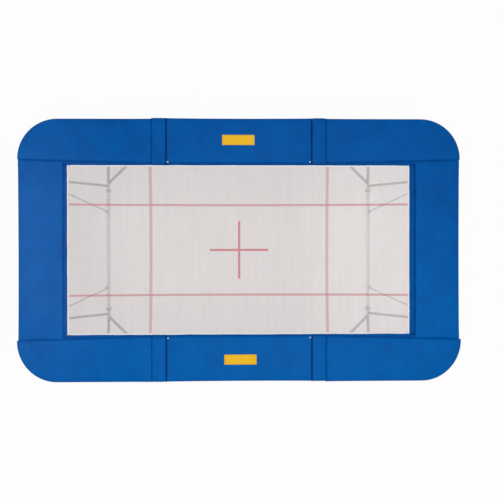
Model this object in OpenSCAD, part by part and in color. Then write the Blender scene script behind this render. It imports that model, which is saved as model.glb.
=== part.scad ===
// Folding competition trampoline: a jumping bed hung on springs in a steel frame. Both ends of the
// frame fold up over the middle, and a leg folds in under each end.
// X runs along the length, Y across the width, Z up. The floor is z = 0.

/* [Frame] */
// Length of the frame over its end tubes
frame_l = 5200; // [5120:10:5280]
// Width of the frame over its side tubes
frame_w = 3050; // [3020:10:3080]
// Height of the frame tube's top face above the floor
frame_top_z = 1100; // [1060:5:1140]
// Width of the frame tube
rail_w = 60; // [57:1:64]
// Height of the frame tube
rail_h = 80; // [76:1:90]
// Radius of the frame tube's rounded edges
rail_edge_r = 8; // [5:0.5:12]
// Bend radius of the frame's corners, at the tube's centre line
bend_r = 420; // [380:5:440]
// Distance of each fold from the middle
fold_x = 957; // [953:1:961]
// Gap between the frame tubes at a fold
fold_gap = 6; // [4:1:10]

/* [Bed] */
// Thickness of the bed
bed_t = 5; // [3:0.5:6]
// Gap between the three parts of the bed's solid at each fold
bed_gap = 1; // [0.6:0.2:2]

/* [Springs] */
// Spring spacing along the long sides
side_pitch = 115; // [114:0.5:116]
// Distance from a side spring's pin to the bed's edge
side_spring_l = 412; // [405:1:420]
// Spring spacing along the ends
end_pitch = 96; // [90:1:98]
// Distance from an end spring's pin to the bed's edge
end_spring_l = 422; // [415:1:430]
// Outer diameter of a spring's coil
coil_d = 22; // [18:1:24]
// Thickness of the spring wire
wire_d = 4; // [3:0.2:4.2]
// Height of the spring's centre above the frame tube
spring_rise = 8; // [7:0.5:9]
// Diameter of the pin that holds a spring
pin_d = 10; // [8:0.5:11]
// Height of the pin under its head
pin_h = 12; // [11.5:0.5:14]
// Distance of the pin from the frame tube's inner edge
pin_inset = 12; // [11.5:0.5:13]
// Radius of the hook round the pin, at the wire's centre
pin_hook_r = 8; // [7.8:0.1:9]
// Radius of the hook through the bed's ring, at the wire's centre
bed_hook_r = 9; // [8:0.5:9.4]

/* [Rings] */
// Radius of a bed ring at the wire's centre
ring_r = 13; // [12:0.5:14]
// Thickness of a bed ring's wire
ring_wire_d = 5; // [4:0.5:5]
// Width of the webbing loop that holds a ring
loop_w = 12; // [8:1:12]
// Distance of the ring's wire, in its loop, from the bed's edge
ring_out = 8.5; // [6:0.5:10]

/* [Pads] */
// How far the pads stand out past the frame's ends
pad_past_end = 25; // [20:1:35]
// How far the pads stand out past the frame's sides
pad_past_side = 33; // [28:1:40]
// How far the pads' flaps lie over the bed's ends
flap_on_end = 65; // [55:1:75]
// How far the pads' flaps lie over the bed's sides
flap_on_side = 35; // [28:1:45]
// Height of the pads' underside above the frame tube
pad_rise = 26; // [25:0.5:28]
// Thickness of a pad at its edge
pad_edge_t = 20; // [12:1:20]
// Height that a pad is crowned above its edge
pad_crown = 12; // [4:1:12]
// How far a pad's sides draw in between its corners
pad_draw = 6; // [0:1:10]
// How much rounder the pads' corners are than the frame's
pad_corner_past = 40; // [20:5:45]
// Width of the flap between a pad and the bed
flap_w = 47; // [42:1:54]
// How far the end pads stand back from the corner pads
end_pad_back = 12; // [6:1:16]
// Half of the gap between the pads at a fold
pad_fold_gap = 60; // [56:1:66]
// Depth of the skirt that hangs outside the frame
skirt_h = 86; // [60:2:110]
// Thickness of the pads' cover and of the fold covers
cover_t = 4; // [3:0.5:5]
// Width of a fold cover
fold_cover_w = 175; // [160:1:200]

/* [Hinges] */
// Height of the fold's pin above the frame tube
hinge_rise = 61; // [60:0.5:64]
// Diameter of the fold's pin
hinge_pin_d = 14; // [10:0.5:16]
// Radius of the hinge's eyes
hinge_eye_r = 12; // [11:0.5:13]
// Thickness of each cheek of the hinge's fork
cheek_t = 8; // [6:0.5:9]
// Thickness of the hinge's tongue
tongue_t = 11.4; // [8:0.2:12]
// Length of the hinge's welded foot
hinge_foot_l = 46; // [36:1:50]

/* [Legs] */
// Distance of the floor bars from the middle
bar_x = 1740; // [1700:5:1780]
// Diameter of a floor bar
bar_d = 55; // [50:1:60]
// Height of a floor bar's centre above the floor
bar_z = 35; // [34:0.5:40]
// Distance of a floor bar's ends inside the frame's sides
bar_in = 585; // [575:1:600]
// Diameter of a leg's arms
arm_d = 38; // [32:1:40]
// Distance of the leg's pivot from the fold
leg_pivot_in = 42; // [37:1:52]
// Depth of the leg's pivot below the frame tube's top face
leg_pivot_drop = 52; // [46:1:54]
// Distance of the inner arm's foot from the floor bar's end
inner_foot_in = 55; // [50:1:58]
// Distance of the outer arm's foot from the floor bar's end
outer_foot_in = 25; // [24:1:30]
// Distance of the cup that carries the end frame from the middle
cup_x = 1570; // [1540:5:1620]
// Diameter of the leg's pivot bolt
leg_bolt_d = 16; // [12:0.5:18]
// Outer diameter of the leg's pivot sleeve
leg_sleeve_d = 40; // [34:1:42]
// Distance of a foot's middle from the floor bar's end
foot_in = 150; // [135:5:200]
// Length of the leg's pivot sleeve
leg_sleeve_l = 58; // [56:0.5:60]

/* [Braces] */
// Depth of the brace's pivot below the frame tube's top face
brace_drop = 50; // [44:1:56]
// Distance of the brace's pivot inside the end tube
brace_in = 30; // [26:1:34]
// Distance of the brace's pivot from the end tube's bend
brace_bend_gap = 211; // [195:1:225]
// Distance of the brace's foot from the floor bar's end
brace_foot_in = 85; // [84:1:95]
// Diameter of a brace
brace_d = 32; // [26:1:36]
// Diameter of the brace's diagonal rod
rod_d = 14; // [10:1:18]
// Distance of the diagonal rod's foot from the brace's foot
rod_spread = 350; // [280:5:380]
// Distance of the diagonal rod's top from the brace's pivot
rod_top = 90; // [70:5:200]
// Width of the flat shoe at a brace's foot
shoe_w = 32; // [22:1:36]
// Length of the flat shoe at a brace's foot
shoe_l = 46; // [36:1:50]
// Diameter of the brace's pivot bolt
brace_bolt_d = 12; // [8:0.5:14]

/* [Plates and clearances] */
// Thickness of the leg brackets' plates
plate_t = 6; // [4:0.5:8]
// Radial clearance of a pin in a part that turns on it
turn_gap = 0.05; // [0.03:0.01:0.09]
// Gap between parts that rest against each other
rest_gap = 0.3; // [0.2:0.05:0.6]
// Gap beside a part that turns between two plates
side_gap = 2; // [1:0.25:2]
// Slack of the spring hooks on their pins and rings
hook_gap = 0.1; // [0.05:0.05:0.3]

/* [Hidden] */
$fn = 48;

LEFT = -1;
RIGHT = 1;
FRONT = -1;
BACK = 1;
vinyl = "#0a5aa8";
vinyl_dark = "#003a78";
zinc = "#b9bcbe";
steel = "#8f9497";
nylon = "#dad5d3";
rubber = "#222222";

// Places in the frame
rail_y = frame_w / 2 - rail_w / 2;
rail_in_y = frame_w / 2 - rail_w;
rail_in_x = frame_l / 2 - rail_w;
rail_z = frame_top_z - rail_h / 2;
rail_low_z = frame_top_z - rail_h;
bend_x = frame_l / 2 - rail_w / 2 - bend_r;
bend_y = rail_y - bend_r;
rail_end_x = fold_x - fold_gap / 2;
end_rail_start_x = fold_x + fold_gap / 2;

// Places of the springs
spring_z = frame_top_z + spring_rise;
pin_y = rail_in_y + pin_inset;
pin_x = rail_in_x + pin_inset;
bed_w = 2 * (pin_y - side_spring_l);
bed_l = 2 * (pin_x - end_spring_l);
spring_margin = 30;
side_mid_count = 2 * floor((fold_x - spring_margin) / side_pitch) + 1;
pin_head_d = 1.5 * pin_d;
pin_head_h = 2.5;
wire_r = wire_d / 2;
neck_r = 0.9 * wire_r;
hook_open = 60;
neck_l = 4;
cone_l = 16;
cone_tip_r = 1.5 * wire_r;
ring_wire_r = ring_wire_d / 2;
loop_r = ring_wire_r + 4;
pin_hook_at = pin_hook_r - wire_r - pin_d / 2 - hook_gap;
ring_tip = ring_out + 2 * ring_r;
bed_hook_at = ring_tip + bed_hook_r - wire_r - ring_wire_r - hook_gap;
side_first_end_x = (side_mid_count + 1) / 2 * side_pitch;
side_end_count = floor((bed_l / 2 - spring_margin - side_first_end_x) / side_pitch) + 1;
end_count = 2 * floor((bed_w / 2 - spring_margin) / end_pitch + 0.5);

// Places of the pads
opening_l = bed_l - 2 * flap_on_end;
opening_w = bed_w - 2 * flap_on_side;
pad_z = frame_top_z + pad_rise;
pad_top_z = pad_z + pad_edge_t + pad_crown;
bed_top_z = spring_z + bed_t / 2;
pad_in_y = opening_w / 2 + flap_w;
pad_in_x = opening_l / 2 + flap_w;
pad_out_y = frame_w / 2 + pad_past_side;
pad_out_x = frame_l / 2 + pad_past_end;
pad_corner_r = bend_r + rail_w / 2 + pad_corner_past;
pad_inner_end_x = fold_x - pad_fold_gap;
pad_outer_end_x = fold_x + pad_fold_gap;
flap_tuck = 20;
flap_bend = 12;
flap_air = 1;
flap_seam = 1;
flap_hem_t = 3;
seam_gap = 2;
corner_share = 0.5;
corner_steps = 8;
corner_tip_l = 60;
fold_cover_rise = 16;
fold_cover_air = 2;

// Places of the hinges
hinge_z = frame_top_z + hinge_rise;
hinge_slot = tongue_t + 2 * rest_gap;
hinge_w = hinge_slot + 2 * cheek_t;
hinge_y = frame_w / 2 - rail_edge_r - hinge_w / 2;
hinge_foot_t = 6;
hinge_foot_x = fold_gap / 2 + 3;
hinge_head_r = hinge_pin_d / 2 + 3;
hinge_head_h = 3;

// Places of the legs
bar_r = bar_d / 2;
bar_l = frame_w - 2 * bar_in;
inner_foot_y = bar_l / 2 - inner_foot_in;
outer_foot_y = bar_l / 2 - outer_foot_in;
leg_pivot_x = fold_x - leg_pivot_in;
arm_r = arm_d / 2;
leg_pivot_z = frame_top_z - leg_pivot_drop;
leg_sleeve_y = rail_in_y - plate_t - side_gap - leg_sleeve_l / 2;
leg_cheek_y = leg_sleeve_y - leg_sleeve_l / 2 - side_gap - plate_t;
leg_arm_y = leg_sleeve_y + 4;
leg_cheek_r = 24;
leg_web_z = leg_pivot_z + leg_sleeve_d / 2 + 8;
leg_head_h = 8;
leg_head_d = 1.6 * leg_bolt_d;
cup_floor_z = rail_low_z - rest_gap;
cup_floor_t = 6;
cup_wall = 5;
cup_lip_h = 16;
cup_l = 90;
foot_wall = 3.5;
foot_l = 40;
foot_sole_w = 60;
foot_sole_t = 20;

// Places of the braces
brace_x = rail_in_x - brace_in;
brace_y = bend_y - brace_bend_gap;
brace_z = frame_top_z - brace_drop;
brace_foot_y = bar_l / 2 - brace_foot_in;
rod_foot_y = brace_foot_y - rod_spread;
brace_r = brace_d / 2;
brace_sleeve_l = 40;
brace_sleeve_r = 18;
brace_cheek_t = 5;
brace_cheek_r = 17;
brace_plate_h = 50;
brace_head_h = 6;
brace_head_d = 1.6 * brace_bolt_d;
shoe_t = 7;
shoe_angle = 58;

// Shares of a pad's width and length at which its loft has a row of points
pad_rows = [0, 0.015, 0.05, 0.12, 0.28, 0.5, 0.72, 0.88, 0.95, 0.985, 1];

function loft_crown(t) = pow(max(0, sin(180 * t)), 0.4);
function mix(a, b, t) = a + (b - a) * t;

// Mirrors what is drawn at +X and +Y to the named end and side
module at(end, side) {
    mirror([end < 0 ? 1 : 0, 0, 0])
        mirror([0, side < 0 ? 1 : 0, 0])
            children();
}

// Lays a profile drawn in (x, z) out along Y, from y0 for a length l
module along_y(y0, l) {
    translate([0, y0 + l, 0])
        rotate([90, 0, 0])
            linear_extrude(l)
                children();
}

// Lays a profile drawn in (y, z) out along X, from x0 for a length l
module along_x(x0, l) {
    translate([x0, 0, 0])
        rotate([90, 0, 90])
            linear_extrude(l)
                children();
}

// A round bar from one point to another
module bar(a, b, r) {
    d = b - a;
    turn = atan2(d[1], d[0]);
    tilt = acos(d[2] / norm(d));
    translate(a)
        rotate([0, tilt, turn])
            cylinder(h = norm(d), r = r);
}

// ---- Frame ----

// Section of the frame tube, centred
module rail_section() {
    square([rail_w - 2 * rail_edge_r, rail_h], center = true);
    square([rail_w, rail_h - 2 * rail_edge_r], center = true);
    for (a = [-1, 1], b = [-1, 1])
        translate([a * (rail_w / 2 - rail_edge_r), b * (rail_h / 2 - rail_edge_r)])
            circle(r = rail_edge_r);
}

module side_rail(side) {
    color(zinc)
        at(RIGHT, side)
            along_x(-rail_end_x, 2 * rail_end_x)
                translate([rail_y, rail_z])
                    rail_section();
}

// The end frame: one tube bent into a U, closed at both ends
module end_rail(end) {
    color(zinc)
        at(end, BACK)
            union() {
                for (side = [FRONT, BACK])
                    at(RIGHT, side) {
                        along_x(end_rail_start_x, bend_x - end_rail_start_x)
                            translate([rail_y, rail_z])
                                rail_section();
                        translate([bend_x, bend_y, rail_z])
                            rotate_extrude(angle = 90)
                                translate([bend_r, 0])
                                    rail_section();
                    }
                along_y(-bend_y, 2 * bend_y)
                    translate([bend_x + bend_r, rail_z])
                        rail_section();
            }
}

// ---- Fold hinges ----

// Outline of a hinge plate in (x, z), with its eye at the origin and its foot towards +X
module hinge_plate() {
    foot_z = -hinge_rise;
    circle(r = hinge_eye_r);
    polygon([
        [-hinge_eye_r, 0],
        [hinge_eye_r, 0],
        [hinge_foot_x + hinge_foot_l, foot_z],
        [hinge_foot_x, foot_z]
    ]);
}

// A plate of the given thickness with its welded foot, bored for the pin
module hinge_lug(plates, plate, foot_w, bore_r) {
    difference() {
        union() {
            for (y = plates)
                along_y(y - plate / 2, plate)
                    hinge_plate();
            translate([hinge_foot_x, -foot_w / 2, -hinge_rise])
                cube([hinge_foot_l, foot_w, hinge_foot_t]);
        }
        along_y(-hinge_w, 2 * hinge_w)
            circle(r = bore_r);
    }
}

module hinge_forks() {
    cheek_y = hinge_slot / 2 + cheek_t / 2;
    color(steel)
        for (end = [LEFT, RIGHT], side = [FRONT, BACK])
            at(end, side)
                translate([fold_x, hinge_y, hinge_z])
                    mirror([1, 0, 0])
                        hinge_lug([-cheek_y, cheek_y], cheek_t, hinge_w, hinge_pin_d / 2);
}

module hinge_tongues(end) {
    color(steel)
        for (side = [FRONT, BACK])
            at(end, side)
                translate([fold_x, hinge_y, hinge_z])
                    hinge_lug([0], tongue_t, hinge_w, hinge_pin_d / 2 + turn_gap);
}

module hinge_pins() {
    color(steel)
        for (end = [LEFT, RIGHT], side = [FRONT, BACK])
            at(end, side)
                translate([fold_x, hinge_y, hinge_z]) {
                    along_y(-hinge_w / 2 - hinge_head_h, hinge_head_h)
                        circle(r = hinge_head_r);
                    along_y(-hinge_w / 2, hinge_w)
                        circle(r = hinge_pin_d / 2);
                    along_y(hinge_w / 2, hinge_head_h)
                        circle(r = hinge_head_r, $fn = 6);
                }
}

// ---- Springs, their pins and the bed's rings ----

// One pin standing on the frame tube
module spring_pin() {
    translate([0, 0, frame_top_z])
        cylinder(h = pin_h, d = pin_d);
    translate([0, 0, frame_top_z + pin_h])
        cylinder(h = pin_head_h, d = pin_head_d);
}

// An open hook about Z, which meets its wire at +X and opens towards +Y
module hook(r) {
    rotate([0, 0, 90 + hook_open / 2])
        rotate_extrude(angle = 360 - hook_open)
            translate([r, 0])
                circle(r = wire_r);
}

// One spring along +X: its pin stands at the origin and the bed's edge is l away
module spring(l) {
    start = pin_hook_at + pin_hook_r;
    end = l - bed_hook_at - bed_hook_r;
    coil_start = start + neck_l + cone_l;
    coil_end = end - neck_l - cone_l;
    translate([0, 0, spring_z])
        union() {
            translate([pin_hook_at, 0, 0])
                hook(pin_hook_r);
            rotate([0, 90, 0])
                rotate_extrude()
                    polygon([
                        [0, start],
                        [neck_r, start],
                        [neck_r, coil_start - cone_l],
                        [cone_tip_r, coil_start - cone_l],
                        [coil_d / 2, coil_start],
                        [coil_d / 2, coil_end],
                        [cone_tip_r, coil_end + cone_l],
                        [neck_r, coil_end + cone_l],
                        [neck_r, end],
                        [0, end]
                    ]);
            translate([l - bed_hook_at, 0, 0])
                rotate([90, 0, 180])
                    hook(bed_hook_r);
        }
}

// One ring in its webbing loop: the bed's edge is at the origin and the ring points to +Y
module bed_ring() {
    ring_in_r = ring_r - ring_wire_r;
    bore_r = ring_r - sqrt(ring_in_r * ring_in_r - loop_w * loop_w / 4) + turn_gap;
    translate([0, ring_out, spring_z]) {
        color(zinc)
            translate([0, ring_r, 0])
                rotate_extrude()
                    translate([ring_r, 0])
                        circle(r = ring_wire_r);
        color(nylon)
            along_x(-loop_w / 2, loop_w)
                difference() {
                    union() {
                        translate([-ring_out, -loop_r])
                            square([ring_out, 2 * loop_r]);
                        circle(r = loop_r);
                    }
                    circle(r = bore_r);
                }
    }
}

// Places along a long side between the folds, and past the right fold
side_mid_at = [for (i = [0 : side_mid_count - 1]) (i - (side_mid_count - 1) / 2) * side_pitch];
side_end_at = [for (i = [0 : side_end_count - 1]) side_first_end_x + i * side_pitch];
end_at = [for (i = [0 : end_count - 1]) (i - (end_count - 1) / 2) * end_pitch];

// Springs of a long side, at the given places along X
module side_springs(end, side, places) {
    color(steel)
        at(end, side)
            for (x = places)
                translate([x, pin_y, 0])
                    rotate([0, 0, -90])
                        spring(side_spring_l);
}

module end_springs(end) {
    color(steel)
        at(end, BACK)
            for (y = end_at)
                translate([pin_x, y, 0])
                    rotate([0, 0, 180])
                        spring(end_spring_l);
}

module spring_pins_middle() {
    color(zinc)
        for (side = [FRONT, BACK])
            at(RIGHT, side)
                for (x = side_mid_at)
                    translate([x, pin_y, 0])
                        spring_pin();
}

module spring_pins(end) {
    color(zinc)
        at(end, BACK) {
            for (side = [FRONT, BACK])
                at(RIGHT, side)
                    for (x = side_end_at)
                        translate([x, pin_y, 0])
                            spring_pin();
            for (y = end_at)
                translate([pin_x, y, 0])
                    spring_pin();
        }
}

module bed_rings_middle() {
    for (side = [FRONT, BACK])
        at(RIGHT, side)
            for (x = side_mid_at)
                translate([x, bed_w / 2, 0])
                    bed_ring();
}

module bed_rings(end) {
    at(end, BACK) {
        for (side = [FRONT, BACK])
            at(RIGHT, side)
                for (x = side_end_at)
                    translate([x, bed_w / 2, 0])
                        bed_ring();
        for (y = end_at)
            translate([bed_l / 2, y, 0])
                rotate([0, 0, -90])
                    bed_ring();
    }
}

// ---- Bed ----

module bed_middle() {
    half = fold_x - bed_gap / 2;
    color(nylon)
        translate([-half, -bed_w / 2, spring_z - bed_t / 2])
            cube([2 * half, bed_w, bed_t]);
}

module bed_end(end) {
    start = fold_x + bed_gap / 2;
    color(nylon)
        at(end, BACK)
            translate([start, -bed_w / 2, spring_z - bed_t / 2])
                cube([bed_l / 2 - start, bed_w, bed_t]);
}

// ---- Pads ----

// One row of a pad's points, from its inner edge a to its outer edge b in plan. The row stands at
// share v of the length, where the sides draw in and the crown rises. The skirt hangs from b.
function pad_ring(a, b, v) =
    let (
        way = (b - a) / norm(b - a),
        drawn = pad_draw * sin(180 * v),
        p = a + way * drawn,
        q = b - way * drawn,
        r = q - way * cover_t,
        low = pad_z,
        hem = pad_z - skirt_h,
        edge = pad_z + pad_edge_t,
        rise = pad_crown * loft_crown(v)
    )
    concat(
        [[p[0], p[1], low]],
        [for (u = pad_rows)
            let (m = mix(p, q, u))
            [m[0], m[1], edge + rise * loft_crown(u)]],
        [[q[0], q[1], hem], [r[0], r[1], hem], [r[0], r[1], low]]
    );

// A pad with its skirt as one closed loft through rows [inner point, outer point, share of length]
module padding(rows) {
    n = len(pad_rows) + 4;
    last = len(rows) - 1;
    points = [for (row = rows) each pad_ring(row[0], row[1], row[2])];
    sides = [for (i = [0 : last - 1], j = [0 : n - 1])
        let (k = (j + 1) % n, a = i * n + j, b = i * n + k, c = a + n, d = b + n)
        each [[a, b, d], [a, d, c]]];
    skirt = [n - 1, n - 2, n - 3, n - 4];
    first_cap = concat([[skirt[0], skirt[1], skirt[2]], [skirt[0], skirt[2], skirt[3]], [0, n - 1, 1]],
        [for (j = [1 : n - 5]) [n - 1, j + 1, j]]);
    last_cap = [for (f = first_cap) [for (k = [2, 1, 0]) f[k] + last * n]];
    polyhedron(points = points, faces = concat(sides, first_cap, last_cap), convexity = 4);
}

// Flap from the underside of a pad down to the bed, as a profile of (distance, height)
module flap_profile() {
    polygon([
        [0, bed_top_z + flap_air],
        [flap_w - flap_bend, pad_z - cover_t],
        [flap_w + flap_tuck, pad_z - cover_t],
        [flap_w + flap_tuck, pad_z + flap_seam],
        [flap_w - flap_bend, pad_z],
        [0, bed_top_z + flap_air + flap_hem_t]
    ]);
}

module pad_side(side) {
    rows = [for (v = pad_rows)
        let (x = mix(-pad_inner_end_x, pad_inner_end_x, v))
        [[x, pad_in_y], [x, pad_out_y], v]];
    color(vinyl)
        at(RIGHT, side)
            union() {
                padding(rows);
                along_x(-pad_inner_end_x, 2 * pad_inner_end_x)
                    translate([opening_w / 2, 0])
                        flap_profile();
            }
}

// A corner pad runs from the fold along the side and round the frame's corner
module pad_corner(end, side) {
    arc_x = pad_out_x - pad_corner_r;
    arc_y = pad_out_y - pad_corner_r;
    arc_end = acos((pad_in_y - arc_y) / pad_corner_r);
    run = [for (v = [0, 0.02, 0.06, 0.14, 0.3])
        let (x = mix(pad_outer_end_x, arc_x, v / corner_share))
        [[x, pad_in_y], [x, pad_out_y], v]];
    turn = [for (i = [0 : corner_steps])
        let (t = i / corner_steps, a = arc_end * t)
        [[mix(arc_x, pad_out_x - corner_tip_l, t), pad_in_y],
         [arc_x + pad_corner_r * sin(a), arc_y + pad_corner_r * cos(a)],
         mix(corner_share, 1, t)]];
    color(vinyl)
        at(end, side)
            union() {
                padding(concat(run, turn));
                along_x(pad_outer_end_x, pad_in_x - seam_gap - pad_outer_end_x)
                    translate([opening_w / 2, 0])
                        flap_profile();
            }
}

module pad_end(end) {
    half = pad_in_y - seam_gap;
    flap_half = opening_w / 2 - seam_gap;
    out_x = pad_out_x - end_pad_back;
    rows = [for (v = pad_rows)
        let (y = mix(half, -half, v))
        [[pad_in_x, y], [out_x, y], v]];
    color(vinyl)
        at(end, BACK)
            union() {
                padding(rows);
                along_y(-flap_half, 2 * flap_half)
                    translate([opening_l / 2, 0])
                        flap_profile();
            }
}

// Outline under the arch of a fold cover, in (x, z), raised by extra
module cover_arch(extra) {
    half = fold_cover_w / 2;
    r = (half * half + fold_cover_rise * fold_cover_rise) / (2 * fold_cover_rise);
    translate([0, pad_top_z + fold_cover_rise + fold_cover_air - r])
        circle(r = r + extra, $fn = 96);
}

// The part of the arch's outline above z0, filled or as a sheet
module cover_face(z0, sheet) {
    intersection() {
        difference() {
            cover_arch(cover_t);
            if (sheet)
                cover_arch(0);
        }
        translate([-fold_cover_w / 2, z0])
            square([fold_cover_w, pad_top_z + 2 * fold_cover_rise - z0]);
    }
}

// A cover bridges the pads over a fold, and drops over the frame's side and the pads' inner edge
module fold_cover(end, side) {
    out_y = pad_out_y + 1;
    in_y = pad_in_y - 2 - cover_t;
    color(vinyl_dark)
        at(end, side)
            translate([fold_x, 0, 0])
                union() {
                    along_y(in_y, out_y + cover_t - in_y)
                        cover_face(pad_z, true);
                    along_y(out_y, cover_t)
                        cover_face(pad_z - skirt_h, false);
                    along_y(in_y, cover_t)
                        cover_face(pad_z + pad_edge_t / 2, false);
                }
}

// ---- Legs ----

// Outline of a leg bracket's cheek in (x, z) about the pivot
module leg_cheek() {
    circle(r = leg_cheek_r);
    translate([-leg_cheek_r, 0])
        square([2 * leg_cheek_r, leg_web_z - leg_pivot_z]);
}

module leg_bracket() {
    difference() {
        union() {
            along_y(leg_cheek_y, plate_t)
                leg_cheek();
            along_y(rail_in_y - plate_t, plate_t)
                leg_cheek();
            translate([-leg_cheek_r, leg_cheek_y, leg_web_z - leg_pivot_z])
                cube([2 * leg_cheek_r, rail_in_y - leg_cheek_y, plate_t]);
        }
        along_y(leg_cheek_y - 1, rail_in_y - leg_cheek_y + 2)
            circle(d = leg_bolt_d);
    }
}

module leg_brackets() {
    color(steel)
        for (end = [LEFT, RIGHT], side = [FRONT, BACK])
            at(end, side)
                translate([leg_pivot_x, 0, leg_pivot_z])
                    leg_bracket();
}

module leg_bolts() {
    color(zinc)
        for (end = [LEFT, RIGHT], side = [FRONT, BACK])
            at(end, side)
                translate([leg_pivot_x, 0, leg_pivot_z]) {
                    along_y(leg_cheek_y, rail_in_y - leg_cheek_y)
                        circle(d = leg_bolt_d);
                    along_y(leg_cheek_y - leg_head_h, leg_head_h)
                        circle(d = leg_head_d, $fn = 6);
                }
}

module floor_bar(end) {
    color(zinc)
        at(end, BACK)
            translate([bar_x, 0, bar_z])
                along_y(-bar_l / 2, bar_l)
                    circle(r = bar_r);
}

// Takes the floor bar's space out of an arm, so that the arm's end fits round the bar
module cut_by_bar() {
    difference() {
        children();
        translate([bar_x, 0, bar_z])
            along_y(0, bar_l)
                circle(r = bar_r);
    }
}

// The tube of one outer arm, from the floor bar to under the side tube
module outer_arm() {
    bar([bar_x, outer_foot_y, bar_z], [cup_x, rail_y, cup_floor_z], arm_r);
}

// The inner arms run from the floor bar to sleeves on the side tubes' brackets
module leg_inner_arms(end) {
    color(zinc)
        for (side = [FRONT, BACK])
            at(end, side)
                cut_by_bar()
                    difference() {
                        union() {
                            bar([bar_x, inner_foot_y, bar_z], [leg_pivot_x, leg_arm_y, leg_pivot_z], arm_r);
                            translate([leg_pivot_x, 0, leg_pivot_z])
                                along_y(leg_sleeve_y - leg_sleeve_l / 2, leg_sleeve_l)
                                    circle(d = leg_sleeve_d);
                        }
                        translate([leg_pivot_x, 0, leg_pivot_z])
                            along_y(leg_sleeve_y - leg_sleeve_l, 2 * leg_sleeve_l)
                                circle(r = leg_bolt_d / 2 + turn_gap);
                        outer_arm();
                    }
}

// The outer arms end under the cups
module leg_outer_arms(end) {
    color(zinc)
        for (side = [FRONT, BACK])
            at(end, side)
                cut_by_bar()
                    difference() {
                        outer_arm();
                        translate([cup_x - cup_l, rail_y - cup_l, cup_floor_z - cup_floor_t])
                            cube([2 * cup_l, 2 * cup_l, cup_l]);
                    }
}

// Cups on the outer arms, which the end frame's side tubes lie in
module leg_cups(end) {
    cup_w = rail_w + 2 * rest_gap + 2 * cup_wall;
    color(zinc)
        for (side = [FRONT, BACK])
            at(end, side)
                translate([cup_x, rail_y, cup_floor_z])
                    difference() {
                        translate([-cup_l / 2, -cup_w / 2, -cup_floor_t])
                            cube([cup_l, cup_w, cup_floor_t + cup_lip_h]);
                        translate([-cup_l, cup_wall - cup_w / 2, 0])
                            cube([2 * cup_l, cup_w - 2 * cup_wall, rail_h]);
                    }
}

// Rubber feet are slid on the floor bar and stand on the floor
module feet(end) {
    foot_y = bar_l / 2 - foot_in - foot_l / 2;
    color(rubber)
        for (side = [FRONT, BACK])
            at(end, side)
                cut_by_bar()
                    translate([bar_x, foot_y, 0]) {
                        translate([0, 0, bar_z])
                            along_y(0, foot_l)
                                circle(r = bar_r + foot_wall);
                        translate([-foot_sole_w / 2, 0, 0])
                            cube([foot_sole_w, foot_l, foot_sole_t]);
                    }
}

// ---- Braces ----

module brace_brackets(end) {
    cheek_y = brace_sleeve_l / 2 + side_gap;
    color(steel)
        for (side = [FRONT, BACK])
            at(end, side)
                translate([brace_x, brace_y, brace_z])
                    difference() {
                        union() {
                            for (y = [-cheek_y - brace_cheek_t, cheek_y])
                                along_y(y, brace_cheek_t) {
                                    circle(r = brace_cheek_r);
                                    translate([0, -brace_cheek_r])
                                        square([brace_in, 2 * brace_cheek_r]);
                                }
                            translate([brace_in - brace_cheek_t, -cheek_y - brace_cheek_t, -brace_plate_h / 2])
                                cube([brace_cheek_t, 2 * (cheek_y + brace_cheek_t), brace_plate_h]);
                        }
                        along_y(-brace_sleeve_l, 2 * brace_sleeve_l)
                            circle(d = brace_bolt_d);
                    }
}

module brace_bolts(end) {
    cheek_y = brace_sleeve_l / 2 + side_gap + brace_cheek_t;
    color(zinc)
        for (side = [FRONT, BACK])
            at(end, side)
                translate([brace_x, brace_y, brace_z]) {
                    along_y(-cheek_y, 2 * cheek_y)
                        circle(d = brace_bolt_d);
                    for (y = [-cheek_y - brace_head_h, cheek_y])
                        along_y(y, brace_head_h)
                            circle(d = brace_head_d, $fn = 6);
                }
}

// Draws above the plane that touches the floor bar at the shoes' angle, clear of it by a gap
module on_bar() {
    translate([bar_x, 0, bar_z])
        rotate([0, 90 - shoe_angle, 0])
            translate([0, 0, bar_r + rest_gap])
                children();
}

// The flat shoe at a brace's foot, which rests on the floor bar
module shoe(y) {
    on_bar()
        translate([-shoe_l / 2, y - shoe_w / 2, 0])
            cube([shoe_l, shoe_w, shoe_t]);
}

// A brace from the end tube down to the floor bar, with its diagonal rod
module brace(end, side) {
    top = [brace_x, brace_y, brace_z];
    foot = [bar_x, brace_foot_y, bar_z];
    rod_foot = [bar_x, rod_foot_y, bar_z];
    up = (top - foot) / norm(top - foot);
    color(zinc)
        at(end, side)
            difference() {
                union() {
                    bar(foot, top, brace_r);
                    bar(rod_foot, top - up * rod_top, rod_d / 2);
                    shoe(brace_foot_y);
                    shoe(rod_foot_y);
                    translate(top)
                        along_y(-brace_sleeve_l / 2, brace_sleeve_l)
                            circle(r = brace_sleeve_r);
                }
                translate(top)
                    along_y(-brace_sleeve_l, 2 * brace_sleeve_l)
                        circle(r = brace_bolt_d / 2 + turn_gap);
                on_bar()
                    translate([-bar_d, 0, -2 * bar_d])
                        cube([2 * bar_d, bar_l / 2, 2 * bar_d]);
            }
}

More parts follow.
